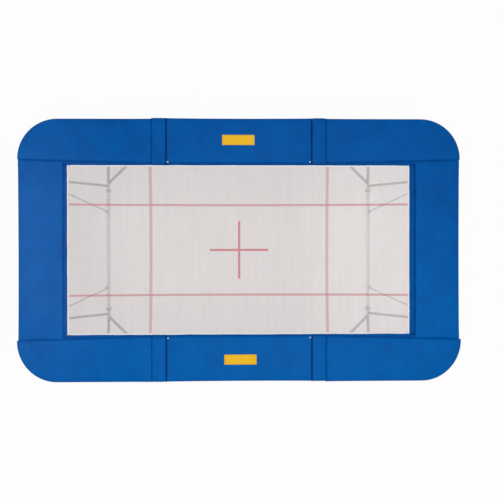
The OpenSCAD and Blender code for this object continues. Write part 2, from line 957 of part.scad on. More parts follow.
side_rail(FRONT);  // side_rail_front
side_rail(BACK);  // side_rail_back
hinge_forks();
hinge_pins();
leg_brackets();
leg_bolts();
spring_pins_middle();
side_springs(RIGHT, FRONT, side_mid_at);  // springs_middle_front
side_springs(RIGHT, BACK, side_mid_at);  // springs_middle_back
bed_middle();
bed_rings_middle();
pad_side(FRONT);  // pad_front
pad_side(BACK);  // pad_back
fold_cover(LEFT, FRONT);  // fold_cover_left_front
fold_cover(LEFT, BACK);  // fold_cover_left_back
fold_cover(RIGHT, FRONT);  // fold_cover_right_front
fold_cover(RIGHT, BACK);  // fold_cover_right_back
end_rail(LEFT);  // end_rail_left
hinge_tongues(LEFT);  // hinge_tongues_left
spring_pins(LEFT);  // spring_pins_left
side_springs(LEFT, FRONT, side_end_at);  // springs_left_front
side_springs(LEFT, BACK, side_end_at);  // springs_left_back
end_springs(LEFT);  // springs_left_end
bed_end(LEFT);  // bed_left
bed_rings(LEFT);  // bed_rings_left
pad_end(LEFT);  // pad_left_end
pad_corner(LEFT, FRONT);  // pad_left_corner_front
pad_corner(LEFT, BACK);  // pad_left_corner_back
brace_brackets(LEFT);  // brace_brackets_left
brace_bolts(LEFT);  // brace_bolts_left
end_rail(RIGHT);  // end_rail_right
hinge_tongues(RIGHT);  // hinge_tongues_right
spring_pins(RIGHT);  // spring_pins_right
side_springs(RIGHT, FRONT, side_end_at);  // springs_right_front
side_springs(RIGHT, BACK, side_end_at);  // springs_right_back
end_springs(RIGHT);  // springs_right_end
bed_end(RIGHT);  // bed_right
bed_rings(RIGHT);  // bed_rings_right
pad_end(RIGHT);  // pad_right_end
pad_corner(RIGHT, FRONT);  // pad_right_corner_front
pad_corner(RIGHT, BACK);  // pad_right_corner_back
brace_brackets(RIGHT);  // brace_brackets_right
brace_bolts(RIGHT);  // brace_bolts_right
floor_bar(LEFT);  // floor_bar_left
leg_inner_arms(LEFT);  // leg_inner_arms_left
leg_outer_arms(LEFT);  // leg_outer_arms_left
leg_cups(LEFT);  // leg_cups_left
feet(LEFT);  // feet_left
floor_bar(RIGHT);  // floor_bar_right
leg_inner_arms(RIGHT);  // leg_inner_arms_right
leg_outer_arms(RIGHT);  // leg_outer_arms_right
leg_cups(RIGHT);  // leg_cups_right
feet(RIGHT);  // feet_right
brace(LEFT, FRONT);  // brace_left_front
brace(LEFT, BACK);  // brace_left_back
brace(RIGHT, FRONT);  // brace_right_front
brace(RIGHT, BACK);  // brace_right_back
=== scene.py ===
"""Folding competition trampoline: its pads, bed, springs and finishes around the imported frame."""

import math
from functools import partial

import bpy
import numpy as np
from bpy.props import FloatProperty, FloatVectorProperty, IntProperty, PointerProperty
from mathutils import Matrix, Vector
from mathutils.bvhtree import BVHTree


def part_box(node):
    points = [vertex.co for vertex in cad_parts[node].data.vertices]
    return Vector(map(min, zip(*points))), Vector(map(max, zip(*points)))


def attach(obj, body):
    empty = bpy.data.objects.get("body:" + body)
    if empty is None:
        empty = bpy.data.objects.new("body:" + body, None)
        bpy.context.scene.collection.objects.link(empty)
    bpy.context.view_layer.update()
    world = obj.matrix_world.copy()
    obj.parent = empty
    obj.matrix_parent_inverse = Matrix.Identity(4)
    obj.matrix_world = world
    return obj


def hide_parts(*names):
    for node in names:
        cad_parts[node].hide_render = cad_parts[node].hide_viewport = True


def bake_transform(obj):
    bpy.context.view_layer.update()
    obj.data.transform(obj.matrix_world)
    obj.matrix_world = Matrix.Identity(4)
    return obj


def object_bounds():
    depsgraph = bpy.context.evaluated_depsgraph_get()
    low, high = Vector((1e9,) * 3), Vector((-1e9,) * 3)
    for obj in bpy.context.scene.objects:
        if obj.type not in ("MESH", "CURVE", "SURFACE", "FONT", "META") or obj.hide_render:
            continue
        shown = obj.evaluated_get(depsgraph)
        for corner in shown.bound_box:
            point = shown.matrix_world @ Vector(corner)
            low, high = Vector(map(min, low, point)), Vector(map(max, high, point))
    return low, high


bl_info = {
    "name": "Folding trampoline",
    "version": (1, 0, 0),
    "blender": (4, 5, 0),
    "location": "3D View > Sidebar > Trampoline",
    "description": "Makes the pads, bed, springs and finishes of a folding trampoline",
    "category": "Add Mesh",
}

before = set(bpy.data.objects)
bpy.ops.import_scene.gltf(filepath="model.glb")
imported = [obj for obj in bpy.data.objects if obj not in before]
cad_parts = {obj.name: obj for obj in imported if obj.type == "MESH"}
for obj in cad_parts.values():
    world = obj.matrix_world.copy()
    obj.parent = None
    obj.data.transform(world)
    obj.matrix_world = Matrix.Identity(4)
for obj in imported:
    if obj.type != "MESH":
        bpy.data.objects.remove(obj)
CAD_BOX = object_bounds()
SIDE_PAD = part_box("pad_back")
CORNER_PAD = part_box("pad_right_corner_back")
END_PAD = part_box("pad_right_end")
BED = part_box("bed_right")
FOLD_X = (BED[0].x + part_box("bed_middle")[1].x) / 2
FOLD_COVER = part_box("fold_cover_right_back")
MM = 0.001
TURN = 2 * math.pi
BLACK, WHITE = (0, 0, 0), (1, 1, 1)
MIDDLE = "centre_frame"
ENDS = (("left", -1), ("right", 1))
SIDES = (("front", -1), ("back", 1))
CORNERS = [(end, x, side, y) for end, x in ENDS for side, y in SIDES]


def linear(hex_colour):
    """Linear RGB of an sRGB hex colour."""
    parts = [int(hex_colour[i : i + 2], 16) / 255 for i in (1, 3, 5)]
    return tuple(p / 12.92 if p <= 0.04045 else ((p + 0.055) / 1.055) ** 2.4 for p in parts)


def length(name, description, default):
    return FloatProperty(name=name, description=description, default=default, unit="LENGTH")


def colour(name, description, hex_colour):
    return FloatVectorProperty(
        name=name, description=description, default=linear(hex_colour), subtype="COLOR", min=0, max=1
    )


class TrampolinePadSettings(bpy.types.PropertyGroup):
    inner_side: length("Side inner edge", "The side pads' inner edge from the middle", SIDE_PAD[0].y)
    taper: length("Corner taper", "How far the corner pads' inner edge runs outwards to the end", 44 * MM)
    inner_end: length("End inner edge", "The end pads' inner edge from the middle", END_PAD[0].x + 17 * MM)
    open_side: length("Side opening", "The side flaps' inner edge from the middle", SIDE_PAD[0].y - 22 * MM)
    open_end: length("End opening", "The end flaps' inner edge from the middle", END_PAD[0].x - 26 * MM)
    underside: length("Underside", "Height of the pads' underside above the floor", 1.126)
    edge: length("Edge thickness", "Thickness of a pad at its edge", 20 * MM)
    crown: length("Crown", "Height that a pad's middle stands above its edge", 8 * MM)
    round: length("Edge rounding", "Distance over which a pad's edge rounds off", 16 * MM)
    corner: length("Corner radius", "Radius of the pads' outer corners", 474 * MM)
    draw: length("Draw-in", "How far a pad's sides pull in between its corners", 4 * MM)
    step: length("Mesh step", "Distance between the mesh rows of a pad", 24 * MM)
    swell: length("Swell", "How far the filling may push the cover out", 4 * MM)
    welt: length("Welt radius", "Radius of the piped seam round a pad", 3 * MM)
    vinyl: colour("Vinyl", "Colour of the pads' vinyl", "#0055a3")
    # The flaps' vinyl is darker than the pads', which paints the shade under the pads' inner edges
    painted_shade_vinyl: colour("Dark vinyl", "Colour of the flaps", "#004a94")
    label: colour("Label", "Colour of the bare labels", "#ffc41a")


class TrampolineBedSettings(bpy.types.PropertyGroup):
    sag: length("Sag", "How far the bed hangs down in the middle", 10 * MM)
    bow: length("Bow", "How far the marking lines bow inwards in the middle", 9 * MM)
    hem_side: length("Side hem", "Width of the hem webbing along the sides", 74 * MM)
    hem_end: length("End hem", "Width of the hem webbing along the ends", 110 * MM)
    line_x: length("Cross lines", "Distance of the lines across the bed from the middle", 1.0577)
    line_y: length("Long lines", "Distance of the lines along the bed from the middle", 0.5424)
    cross: length("Centre cross", "Half of the centre cross's length", 350 * MM)
    nylon: colour("Nylon", "Colour of the woven bed", "#e3d5d3")
    dye: colour("Line dye", "Colour of the marking lines", "#c4525f")


class TrampolineSpringSettings(bpy.types.PropertyGroup):
    side_pitch: length("Side spacing", "Spring spacing along the sides", 115 * MM)
    end_pitch: length("End spacing", "Spring spacing along the ends", 96 * MM)
    side_pin: length("Side pins", "Distance of the side pins from the middle", 1.477)
    end_pin: length("End pins", "Distance of the end pins from the middle", 2.552)
    height: length("Height", "Height of the springs' centre lines", 1.108)
    coil: length("Coil radius", "Radius of a coil at the middle of its wire", 9 * MM)
    wire: length("Wire radius", "Radius of the spring wire", 2 * MM)
    turn: length("Turn pitch", "Distance between the turns of a stretched coil", 6.5 * MM)
    middle: IntProperty(name="Middle springs", description="Springs on a middle side", default=17)
    side: IntProperty(name="Side springs", description="Springs on an end frame's side", default=10)
    end: IntProperty(name="End springs", description="Springs on an end", default=22)


class TrampolineStageSettings(bpy.types.PropertyGroup):
    lens: FloatProperty(name="Lens", description="Focal length in mm", default=51.12)
    lamp: FloatProperty(name="Lamp", description="Power of the main lamp in watts", default=325.0)
    sky: FloatProperty(name="Sky", description="Strength of the light from all round", default=0.5)
    floor: colour("Floor", "Colour of the floor", "#fafafa")


class TrampolineSettings(bpy.types.PropertyGroup):
    pads: PointerProperty(type=TrampolinePadSettings)
    bed: PointerProperty(type=TrampolineBedSettings)
    springs: PointerProperty(type=TrampolineSpringSettings)
    stage: PointerProperty(type=TrampolineStageSettings)


# ---- Meshes ----


def make_object(name, points, faces, uv=None):
    """A smooth mesh object. uv holds one pair of metres on the cloth for each point."""
    mesh = bpy.data.meshes.new(name)
    mesh.from_pydata([tuple(p) for p in points], [], [tuple(int(i) for i in f) for f in faces])
    mesh.polygons.foreach_set("use_smooth", [True] * len(mesh.polygons))
    if uv is not None:
        corners = np.zeros(len(mesh.loops), np.int32)
        mesh.loops.foreach_get("vertex_index", corners)
        layer = mesh.uv_layers.new(name="cloth")
        layer.data.foreach_set("uv", np.asarray(uv, np.float32)[corners].ravel())
    mesh.validate()
    mesh.update()
    made = bpy.data.objects.new(name, mesh)
    bpy.context.scene.collection.objects.link(made)
    return made


def points_of(piece):
    flat = np.zeros(len(piece.data.vertices) * 3)
    piece.data.vertices.foreach_get("co", flat)
    return flat.reshape(-1, 3)


def put_points(piece, points):
    piece.data.vertices.foreach_set("co", np.asarray(points, np.float32).ravel())
    piece.data.update()


def quads(rows, columns, start=0, turned=False):
    """Faces of a grid of points, which look up where rows run along X and columns along Y."""
    i, j = np.meshgrid(np.arange(rows - 1), np.arange(columns - 1), indexing="ij")
    a = (start + i * columns + j).ravel()
    faces = np.stack([a, a + columns, a + columns + 1, a + 1], 1)
    return faces[:, ::-1] if turned else faces


def edge_walk(rows, columns):
    """Indices round the border of a grid, once round."""
    grid = np.arange(rows * columns).reshape(rows, columns)
    return np.concatenate([grid[:, 0], grid[-1, 1:], grid[-2::-1, -1], grid[0, -2:0:-1]])


def lengths(points):
    """Distance along a row of points, from its first."""
    return np.concatenate([[0], np.cumsum(np.linalg.norm(np.diff(points, axis=0), axis=1))])


def evenly(path, step):
    """A path's points again at even distances."""
    at = lengths(path)
    wanted = np.linspace(0, at[-1], max(3, int(at[-1] / step)))
    return np.stack([np.interp(wanted, at, path[:, k]) for k in range(3)], 1)


def grid_normals(grid):
    across = np.cross(np.gradient(grid, axis=0), np.gradient(grid, axis=1))
    return across / np.maximum(np.linalg.norm(across, axis=2, keepdims=True), 1e-12)


def shell(name, grid, thick, uv=None):
    """A closed sheet of cloth round a grid of points. thick is one thickness, or one for each point."""
    rows, columns = grid.shape[:2]
    offset = grid_normals(grid) * (np.broadcast_to(thick, (rows, columns))[..., None] / 2)
    points = np.concatenate([(grid + offset).reshape(-1, 3), (grid - offset).reshape(-1, 3)])
    if uv is None:
        s, t = lengths(grid[:, columns // 2]), lengths(grid[rows // 2])
        uv = np.stack(np.meshgrid(s, t, indexing="ij"), 2)
    uv = uv.reshape(-1, 2)
    walk, count = edge_walk(rows, columns), rows * columns
    after = np.roll(walk, -1)
    rim = np.stack([walk, walk + count, after + count, after], 1)
    faces = np.concatenate([quads(rows, columns), quads(rows, columns, count, True), rim])
    return make_object(name, points, faces, np.concatenate([uv, uv]))


def ring_faces(count, sides, closed=False):
    """Faces between rings of points, with flat ends unless the last ring meets the first."""
    i, j = np.divmod(np.arange((count if closed else count - 1) * sides), sides)
    k, below = (j + 1) % sides, (i + 1) % count
    faces = np.stack([i * sides + j, i * sides + k, below * sides + k, below * sides + j], 1).tolist()
    if not closed:
        faces += [range(sides - 1, -1, -1), range((count - 1) * sides, count * sides)]
    return faces


def tube_parts(path, radius, sides, closed=False):
    """Points and faces of a round bar along a path, with flat ends unless it is closed."""
    ahead = np.roll(path, -1, 0) - np.roll(path, 1, 0)
    if not closed:
        ahead[0], ahead[-1] = path[1] - path[0], path[-1] - path[-2]
    ahead /= np.linalg.norm(ahead, axis=1, keepdims=True)
    side = np.zeros_like(path)
    side[0] = np.cross(ahead[0], [0.31, 0.52, 0.79])
    side[0] /= np.linalg.norm(side[0])
    for i in range(1, len(path)):
        step = side[i - 1] - ahead[i] * (side[i - 1] @ ahead[i])
        side[i] = step / np.linalg.norm(step)
    up = np.cross(ahead, side)
    angle = np.arange(sides) * TURN / sides
    ring = np.cos(angle)[None, :, None] * side[:, None] + np.sin(angle)[None, :, None] * up[:, None]
    points = (path[:, None] + radius * ring).reshape(-1, 3)
    return points, ring_faces(len(path), sides, closed)


def waves(points, seed, wave, count=14):
    """Smooth unevenness from about -1 to 1 in the plan, made of count long waves."""
    draw = np.random.default_rng(seed)
    angle = draw.uniform(0, TURN, count)
    size = draw.uniform(0.7, 1.5, count) * wave
    phase = draw.uniform(0, TURN, count)
    way = np.stack([np.cos(angle), np.sin(angle)], 1) * (TURN / size)[:, None]
    return np.sin(points[..., :2] @ way.T + phase).sum(-1) / math.sqrt(count)


def apply_modifiers(piece):
    bpy.context.view_layer.update()
    seen = piece.evaluated_get(bpy.context.evaluated_depsgraph_get())
    done = bpy.data.meshes.new_from_object(seen)
    old = piece.data
    piece.modifiers.clear()
    piece.data = done
    bpy.data.meshes.remove(old)


def subdivide(piece):
    modifier = piece.modifiers.new("smooth", "SUBSURF")
    modifier.levels = modifier.render_levels = 1
    modifier.uv_smooth = "PRESERVE_BOUNDARIES"
    apply_modifiers(piece)


def swell(piece, cap, frames=20):
    """Fills a closed cover with pressure as cloth, and lets no point move further than cap."""
    start = points_of(piece)
    cloth = piece.modifiers.new("cloth", "CLOTH")
    settings = cloth.settings
    settings.quality = 6
    settings.mass = 0.4
    settings.tension_stiffness = settings.compression_stiffness = 18
    settings.shear_stiffness = 8
    settings.bending_stiffness = 2.5
    settings.use_pressure = True
    settings.uniform_pressure_force = 4.0
    settings.effector_weights.gravity = 0
    scene = bpy.context.scene
    cloth.point_cache.frame_start, cloth.point_cache.frame_end = 1, frames
    for number in range(1, frames + 1):
        scene.frame_set(number)
    apply_modifiers(piece)
    scene.frame_set(1)
    # The vinyl hardly stretches in plan, so most of the swelling goes up and down
    move = (points_of(piece) - start) * (0.3, 0.3, 1)
    far = np.linalg.norm(move, axis=1, keepdims=True)
    put_points(piece, start + move * np.minimum(1, cap / np.maximum(far, 1e-9)))


def mirrored(piece, name, x, y):
    """A copy of a piece, mirrored in X where x is -1 and in Y where y is -1."""
    copy = piece.copy()
    copy.data = piece.data.copy()
    copy.name = copy.data.name = name
    bpy.context.scene.collection.objects.link(copy)
    put_points(copy, points_of(piece) * (x, y, 1))
    if x * y < 0:
        copy.data.flip_normals()
    return copy


def finish_piece(piece, material, body=None):
    """Gives a piece its material and slot, and lets it ride on a body."""
    piece.data.materials.clear()
    piece.data.materials.append(material)
    if body:
        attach(piece, body)


# ---- Materials ----


def add_node(tree, kind, inputs=(), stops=(), **settings):
    """Adds a node with its settings and links. kind may end with a maths operation or a data type. Inputs
    are named, or in the order of the sockets in use, and each is a value, an output, or a node for its
    first output in use. stops are a colour ramp's (place, RGB)."""
    kind, _, variant = kind.partition(" ")
    node = tree.nodes.new("ShaderNode" + kind)
    if variant:
        settings["data_type" if kind == "Mix" else "operation"] = variant
    for key, value in settings.items():
        setattr(node, key, value)
    if stops:
        elements = node.color_ramp.elements
        while len(elements) < len(stops):
            elements.new(0.5)
        for element, (place, rgb) in zip(elements, stops):
            element.position, element.color = place, (*rgb, 1)
    in_use = [socket for socket in node.inputs if socket.enabled]
    for key, value in inputs.items() if isinstance(inputs, dict) else enumerate(inputs):
        socket = node.inputs[key] if isinstance(key, str) else in_use[key]
        if isinstance(value, bpy.types.Node):
            value = next(output for output in value.outputs if output.enabled)
        if isinstance(value, bpy.types.NodeSocket):
            tree.links.new(value, socket)
        else:
            socket.default_value = (*value, 1) if socket.type == "RGBA" else value
    return node


def shade(rgb, share):
    return tuple(min(1, c * share) for c in rgb)


def finish(kind, name, *arguments):
    """A material by its name. Its first use makes it, and kind adds its nodes and returns its shader."""
    material = bpy.data.materials.get(name)
    if not material:
        material = bpy.data.materials.new(name)
        material.use_nodes = True
        material.node_tree.nodes.clear()
        add = partial(add_node, material.node_tree)
        add("OutputMaterial", [kind(add, *arguments)])
    return material


def coated_vinyl(add, rgb, gloss=0.42, painted_reflection=1.0):
    """PVC-coated polyester, calendered with a fine leather grain. It has an even, slightly oily sheen,
    a little lighter where hands and feet have rubbed it, and a painted reflection of the lamps
    lightens it towards the front side and the left end."""
    place = add("TexCoord").outputs["Object"]
    # Grain cells are 1.2 mm in the coating, drawn 4 mm across so that they show
    grain = add("TexVoronoi", {"Vector": place, "Scale": 1 / (4 * MM)})
    # Clouds of dirt and polish are about 250 mm across
    cloud = add("TexNoise", {"Vector": place, "Scale": 4.0, "Detail": 4.0, "Roughness": 0.6})
    # Scuffs are thin streaks, 8 mm wide and about 100 mm long
    stretched = add("Mapping", {"Vector": place, "Rotation": (0, 0, 0.5), "Scale": (120, 9, 60)})
    scuff = add("TexNoise", {"Vector": stretched, "Scale": 1.0, "Detail": 3.0})
    scuffed = add("ValToRGB", [scuff], [(0.64, BLACK), (0.78, WHITE)])
    # Painted reflection of the lamps: a little lighter towards the front side and more towards the left end,
    # most in its middle
    x, y, _ = add("SeparateXYZ", [place]).outputs
    front = add("MapRange", [y, 1.0, -1.2, 0.0, painted_reflection])
    left = add("MapRange", [x, -1.5, -2.4, 0.0, painted_reflection])
    reflection_off_corner = add("MapRange", [add("Math ABSOLUTE", [y]), 0.6, 1.3, 1.0, 0.4])
    r, g, b = rgb
    reflection_tone = add("Mix RGBA", [front, rgb, (r, 1.24 * g, 1.15 * b)])
    most = add("Math MULTIPLY", [left, reflection_off_corner])
    reflection_tone = add("Mix RGBA", [most, reflection_tone, (r + 0.013, 1.32 * g, 1.19 * b)])
    dirty = add("Mix RGBA", [0.1, reflection_tone, BLACK])
    polished = add("Mix RGBA", [0.03, reflection_tone, (0.0, 0.4, 1.0)])
    clouded = add("Mix RGBA", [add("ValToRGB", [cloud], [(0.32, BLACK), (0.68, WHITE)]), dirty, polished])
    worn = add("Math MULTIPLY", [scuffed, 0.07])
    tone = add("Mix RGBA", [worn, clouded, tuple(0.5 * c + 0.35 for c in rgb)])
    bump = add("Bump", {"Height": grain, "Strength": 0.12, "Distance": 0.3 * MM})
    return add(
        "BsdfPrincipled",
        {
            "Base Color": tone,
            "Roughness": add("MapRange", [cloud, 0.3, 0.7, gloss - 0.06, gloss + 0.08]),
            "IOR": 1.53,
            "Specular IOR Level": 0.035,
            "Normal": add("Bump", {"Height": cloud, "Strength": 0.25, "Distance": 3 * MM, "Normal": bump}),
        },
    )


def webbing(add, rgb):
    """Woven polyester tape. Ribs across the tape and a dull, dry face."""
    along = add("SeparateXYZ", [add("UVMap", uv_map="cloth")]).outputs[0]
    # Ribs are 2 mm apart in the tape, drawn 4 mm apart so that they show
    ribs = add("Math SINE", [add("Math MULTIPLY", [along, TURN / (4 * MM)])])
    # Dirt lies in spots about 17 mm across
    fuzz = add("TexNoise", {"Vector": add("TexCoord").outputs["Object"], "Scale": 60.0, "Detail": 3.0})
    tone = add("ValToRGB", [fuzz], [(0.3, shade(rgb, 0.88)), (0.7, shade(rgb, 1.06))])
    between = add("Math MULTIPLY", [add("Math GREATER_THAN", [ribs, 0.4]), 0.12])
    return add(
        "BsdfPrincipled",
        {
            "Base Color": add("Mix RGBA", [between, tone, shade(rgb, 0.6)]),
            "Roughness": 0.82,
            "IOR": 1.5,
            "Sheen Weight": 0.15,
            "Normal": add("Bump", {"Height": ribs, "Strength": 0.35, "Distance": 0.5 * MM}),
        },
    )


def woven_nylon(add, settings):
    """Nylon string woven in an open square weave, with dyed marking threads. The gaps between the
    strings let the legs and the floor show through, and the strings run in faint stripes."""
    cloth = add("UVMap", uv_map="cloth")
    u, v, _ = add("SeparateXYZ", [cloth]).outputs
    nylon, dye = tuple(settings.nylon), tuple(settings.dye)
    # Strings are 6 mm apart
    warp, weft = (add("Math SINE", [add("Math MULTIPLY", [way, TURN / (6 * MM)])]) for way in (u, v))
    weave = add("Math MULTIPLY", [warp, weft])
    # Groups of strings from one bobbin differ in tone, drawn as stripes 45 mm wide so that they show
    striped = add("Mapping", {"Vector": cloth, "Scale": (1 / (45 * MM), 0.9, 1)})
    stripe = add("TexNoise", {"Vector": striped, "Scale": 1.0, "Detail": 2.0, "Roughness": 0.6})
    tone = add("ValToRGB", [stripe], [(0.36, shade(nylon, 0.965)), (0.5, nylon), (0.66, shade(nylon, 1.03))])
    # Every sixth string is packed tighter, which shows as fine lines in patches about half a metre wide
    pack = add("Math SINE", [add("Math MULTIPLY", [u, TURN / (36 * MM)])])
    patch = add("TexNoise", {"Vector": cloth, "Scale": 1.9, "Detail": 2.0})
    patched = add("ValToRGB", [patch], [(0.42, BLACK), (0.62, WHITE)])
    packed = add("Math MULTIPLY", [add("Math GREATER_THAN", [pack, 0.35]), patched])
    tone = add("Mix RGBA", [add("Math MULTIPLY", [packed, 0.2]), tone, shade(nylon, 0.72)])
    # Foot marks lie in patches about 300 mm across
    worn = add("TexNoise", {"Vector": cloth, "Scale": 3.2, "Detail": 5.0, "Roughness": 0.65})
    worn = add("ValToRGB", [worn], [(0.45, BLACK), (0.75, shade(WHITE, 0.35))])
    tone = add("Mix RGBA", [worn, tone, shade(nylon, 0.84)])
    across, along = add("Math ABSOLUTE", [u]), add("Math ABSOLUTE", [v])
    # Painted shade: darker towards the left end and not at all at the right end, and darker along the long
    # sides than in the middle
    span = add("MapRange", [u, -BED[1].x, BED[1].x])
    painted_shade_ramp = ((0.06, 0.5), (0.2, 0.24), (0.64, 0.27), (0.8, 0.0))
    painted_shade_share = add("ValToRGB", [span], [(place, shade(WHITE, grey)) for place, grey in painted_shade_ramp])
    sides = add("MapRange", [along, 0.35, 0.75, 0.0, 0.13])
    painted_shade_share = add("Math MINIMUM", [add("Math ADD", [painted_shade_share, sides]), 0.46])
    tone = add("Mix RGBA", [painted_shade_share, tone, shade(nylon, 0.5)])

    def line(place, at, half):
        return add("Math LESS_THAN", [add("Math ABSOLUTE", [add("Math SUBTRACT", [place, at])]), half])

    def arm(place, run):
        return add("Math MULTIPLY", [line(place, 0.0, 14 * MM), add("Math LESS_THAN", [run, settings.cross])])

    wide = line(across, settings.line_x, 18 * MM)
    thin = line(along, settings.line_y, 12.5 * MM)
    cross = add("Math MAXIMUM", [arm(along, across), arm(across, along)])
    # The share of dyed thread differs from line to line
    for mark, share in ((wide, 0.46), (thin, 0.68), (cross, 0.95)):
        tone = add("Mix RGBA", [add("Math MULTIPLY", [mark, share]), tone, dye])
    shader = add(
        "BsdfPrincipled",
        {
            "Base Color": tone,
            "Roughness": 0.6,
            "IOR": 1.53,
            "Sheen Weight": 0.1,
            "Normal": add("Bump", {"Height": weave, "Strength": 0.5, "Distance": 1.0 * MM}),
        },
    )
    marked = add("Math MAXIMUM", [add("Math MAXIMUM", [wide, thin]), cross])
    # The open share of the weave is about a third, and less where dyed thread fills it
    holes = add("MapRange", [weave, -1.0, 1.0, 0.42, 0.22])
    unfilled = add("Math SUBTRACT", [1.0, add("Math MULTIPLY", [marked, 0.5])])
    holes = add("Math MULTIPLY", [holes, unfilled])
    return add("MixShader", [holes, shader, add("BsdfTransparent", [WHITE])])


def galvanised(add, rgb, rough):
    """Hot-dip galvanised steel tube. Zinc crystals give patches of slightly different grey and gloss."""
    place = add("TexCoord").outputs["Object"]
    # Zinc crystals are about 12 mm across
    spangle = add("TexVoronoi", {"Vector": place, "Scale": 1 / (12 * MM)}).outputs["Color"]
    grey, sheen, _ = add("SeparateXYZ", [spangle]).outputs
    tone = add("ValToRGB", [grey], [(0.0, shade(rgb, 0.82)), (1.0, shade(rgb, 1.1))])
    # The dull film of old zinc lies in clouds about 110 mm across
    film = add("TexNoise", {"Vector": place, "Scale": 9.0, "Detail": 5.0})
    filmed = add("ValToRGB", [film], [(0.45, BLACK), (0.8, shade(WHITE, 0.4))])
    return add(
        "BsdfPrincipled",
        {
            "Base Color": add("Mix RGBA", [filmed, tone, shade(rgb, 0.7)]),
            "Metallic": 1.0,
            "Roughness": add("MapRange", [sheen, 0.0, 1.0, rough - 0.07, rough + 0.1]),
            "Normal": add("Bump", {"Height": film, "Strength": 0.15, "Distance": 1 * MM}),
        },
    )


def plated(add, rgb, rough, grit):
    """Bright zinc-plated or drawn steel. Fine tool or die marks, grit mm apart, in an even metal face."""
    place = add("TexCoord").outputs["Object"]
    marks = add("TexNoise", {"Vector": place, "Scale": 1 / (grit * MM), "Detail": 4.0})
    return add(
        "BsdfPrincipled",
        {
            "Base Color": add("ValToRGB", [marks], [(0.3, shade(rgb, 0.8)), (0.7, shade(rgb, 1.08))]),
            "Metallic": 1.0,
            "Roughness": add("MapRange", [marks, 0.0, 1.0, rough - 0.08, rough + 0.12]),
            "Normal": add("Bump", {"Height": marks, "Strength": 0.2, "Distance": 0.2 * MM}),
        },
    )


def ring_and_loop(add, settings):
    """Plated steel rings in loops of white webbing at the bed's edge. The loops are dull and ribbed,
    and the rings are bright."""
    place = add("TexCoord").outputs["Object"]
    x, y, _ = add("SeparateXYZ", [place]).outputs
    past_end = add("Math SUBTRACT", [add("Math ABSOLUTE", [x]), BED[1].x])
    past_side = add("Math SUBTRACT", [add("Math ABSOLUTE", [y]), BED[1].y])
    # A loop ends 15 mm past the bed's edge and is 12 mm wide
    near = add("Math LESS_THAN", [add("Math MAXIMUM", [past_end, past_side]), 15.2 * MM])
    on_side = add("Math GREATER_THAN", [add("Math ABSOLUTE", [y]), BED[1].y])
    on_end = add("Math SUBTRACT", [1.0, on_side])

    def within(along, pitch, shift):
        offset = add("Math PINGPONG", [add("Math ADD", [along, shift]), pitch / 2])
        return add("Math LESS_THAN", [offset, 6.1 * MM])

    side_loop = add("Math MULTIPLY", [on_side, within(x, settings.side_pitch, 0.0)])
    end_loop = add("Math MULTIPLY", [on_end, within(y, settings.end_pitch, settings.end_pitch / 2)])
    looped = add("Math MULTIPLY", [near, add("Math MAXIMUM", [side_loop, end_loop])])
    # The tape's threads and the rings' tool marks are about 2.5 mm across
    fuzz = add("TexNoise", {"Vector": place, "Scale": 400.0, "Detail": 3.0})
    white = linear("#e4e2de")
    tape = add("ValToRGB", [fuzz], [(0.3, shade(white, 0.8)), (0.7, white)])
    cloth = add("BsdfPrincipled", {"Base Color": tape, "Roughness": 0.85, "IOR": 1.5})
    zinc = add("ValToRGB", [fuzz], [(0.3, linear("#9a9da0")), (0.7, linear("#c4c7c9"))])
    metal = add("BsdfPrincipled", {"Base Color": zinc, "Metallic": 1.0, "Roughness": 0.28})
    return add("MixShader", [looped, metal, cloth])


def moulded(add, rgb, rough, grit):
    """Moulded rubber or acetal. A dull skin with fine pits, grit mm apart, and a trace of floor dust."""
    place = add("TexCoord").outputs["Object"]
    pits = add("TexNoise", {"Vector": place, "Scale": 1 / (grit * MM), "Detail": 3.0})
    # Dust lies in spots about 40 mm across
    dust = add("TexNoise", {"Vector": place, "Scale": 25.0, "Detail": 5.0})
    return add(
        "BsdfPrincipled",
        {
            "Base Color": add("ValToRGB", [dust], [(0.35, rgb), (0.8, tuple(0.75 * c + 0.06 for c in rgb))]),
            "Roughness": add("MapRange", [dust, 0.0, 1.0, rough - 0.08, rough + 0.1]),
            "IOR": 1.5,
            "Normal": add("Bump", {"Height": pits, "Strength": 0.3, "Distance": 0.3 * MM}),
        },
    )


def twisted_thread(add, rgb):
    """Bonded polyester sewing thread. Three twisted plies give a fine slanting pattern and a silky face."""
    place = add("TexCoord").outputs["Object"]
    # Plies cross the thread every 1.5 mm
    ply = add("TexWave", {"Vector": place, "Scale": 210.0, "Distortion": 1.0}, bands_direction="DIAGONAL")
    return add(
        "BsdfPrincipled",
        {
            "Base Color": add("ValToRGB", [ply], [(0.2, shade(rgb, 0.7)), (0.8, shade(rgb, 1.15))]),
            "Roughness": 0.5,
            "IOR": 1.5,
            "Specular IOR Level": 0.2,
            "Normal": add("Bump", {"Height": ply, "Strength": 0.4, "Distance": 0.3 * MM}),
        },
    )


def pad_vinyl(pads):
    return finish(coated_vinyl, "coated_vinyl_blue", tuple(pads.vinyl))


# The flaps' darker vinyl paints the shade under the pads' inner edges
def flap_vinyl_painted_shade(pads):
    return finish(coated_vinyl, "coated_vinyl_painted_shade", tuple(pads.painted_shade_vinyl), 0.5)


def thread(rgb):
    return finish(twisted_thread, f"twisted_polyester_thread_{round(rgb[2] * 100)}", rgb)


# The binding's near-black vinyl paints the shadow line at the fold strips' edges
def binding_vinyl_painted_shade():
    return finish(coated_vinyl, "coated_vinyl_binding_painted_shade", linear("#002e6a"), 0.4)


# ---- Pads ----

# Share of a pad's edge rounding at which its mesh has one more row
NEAR_EDGE = 0.35
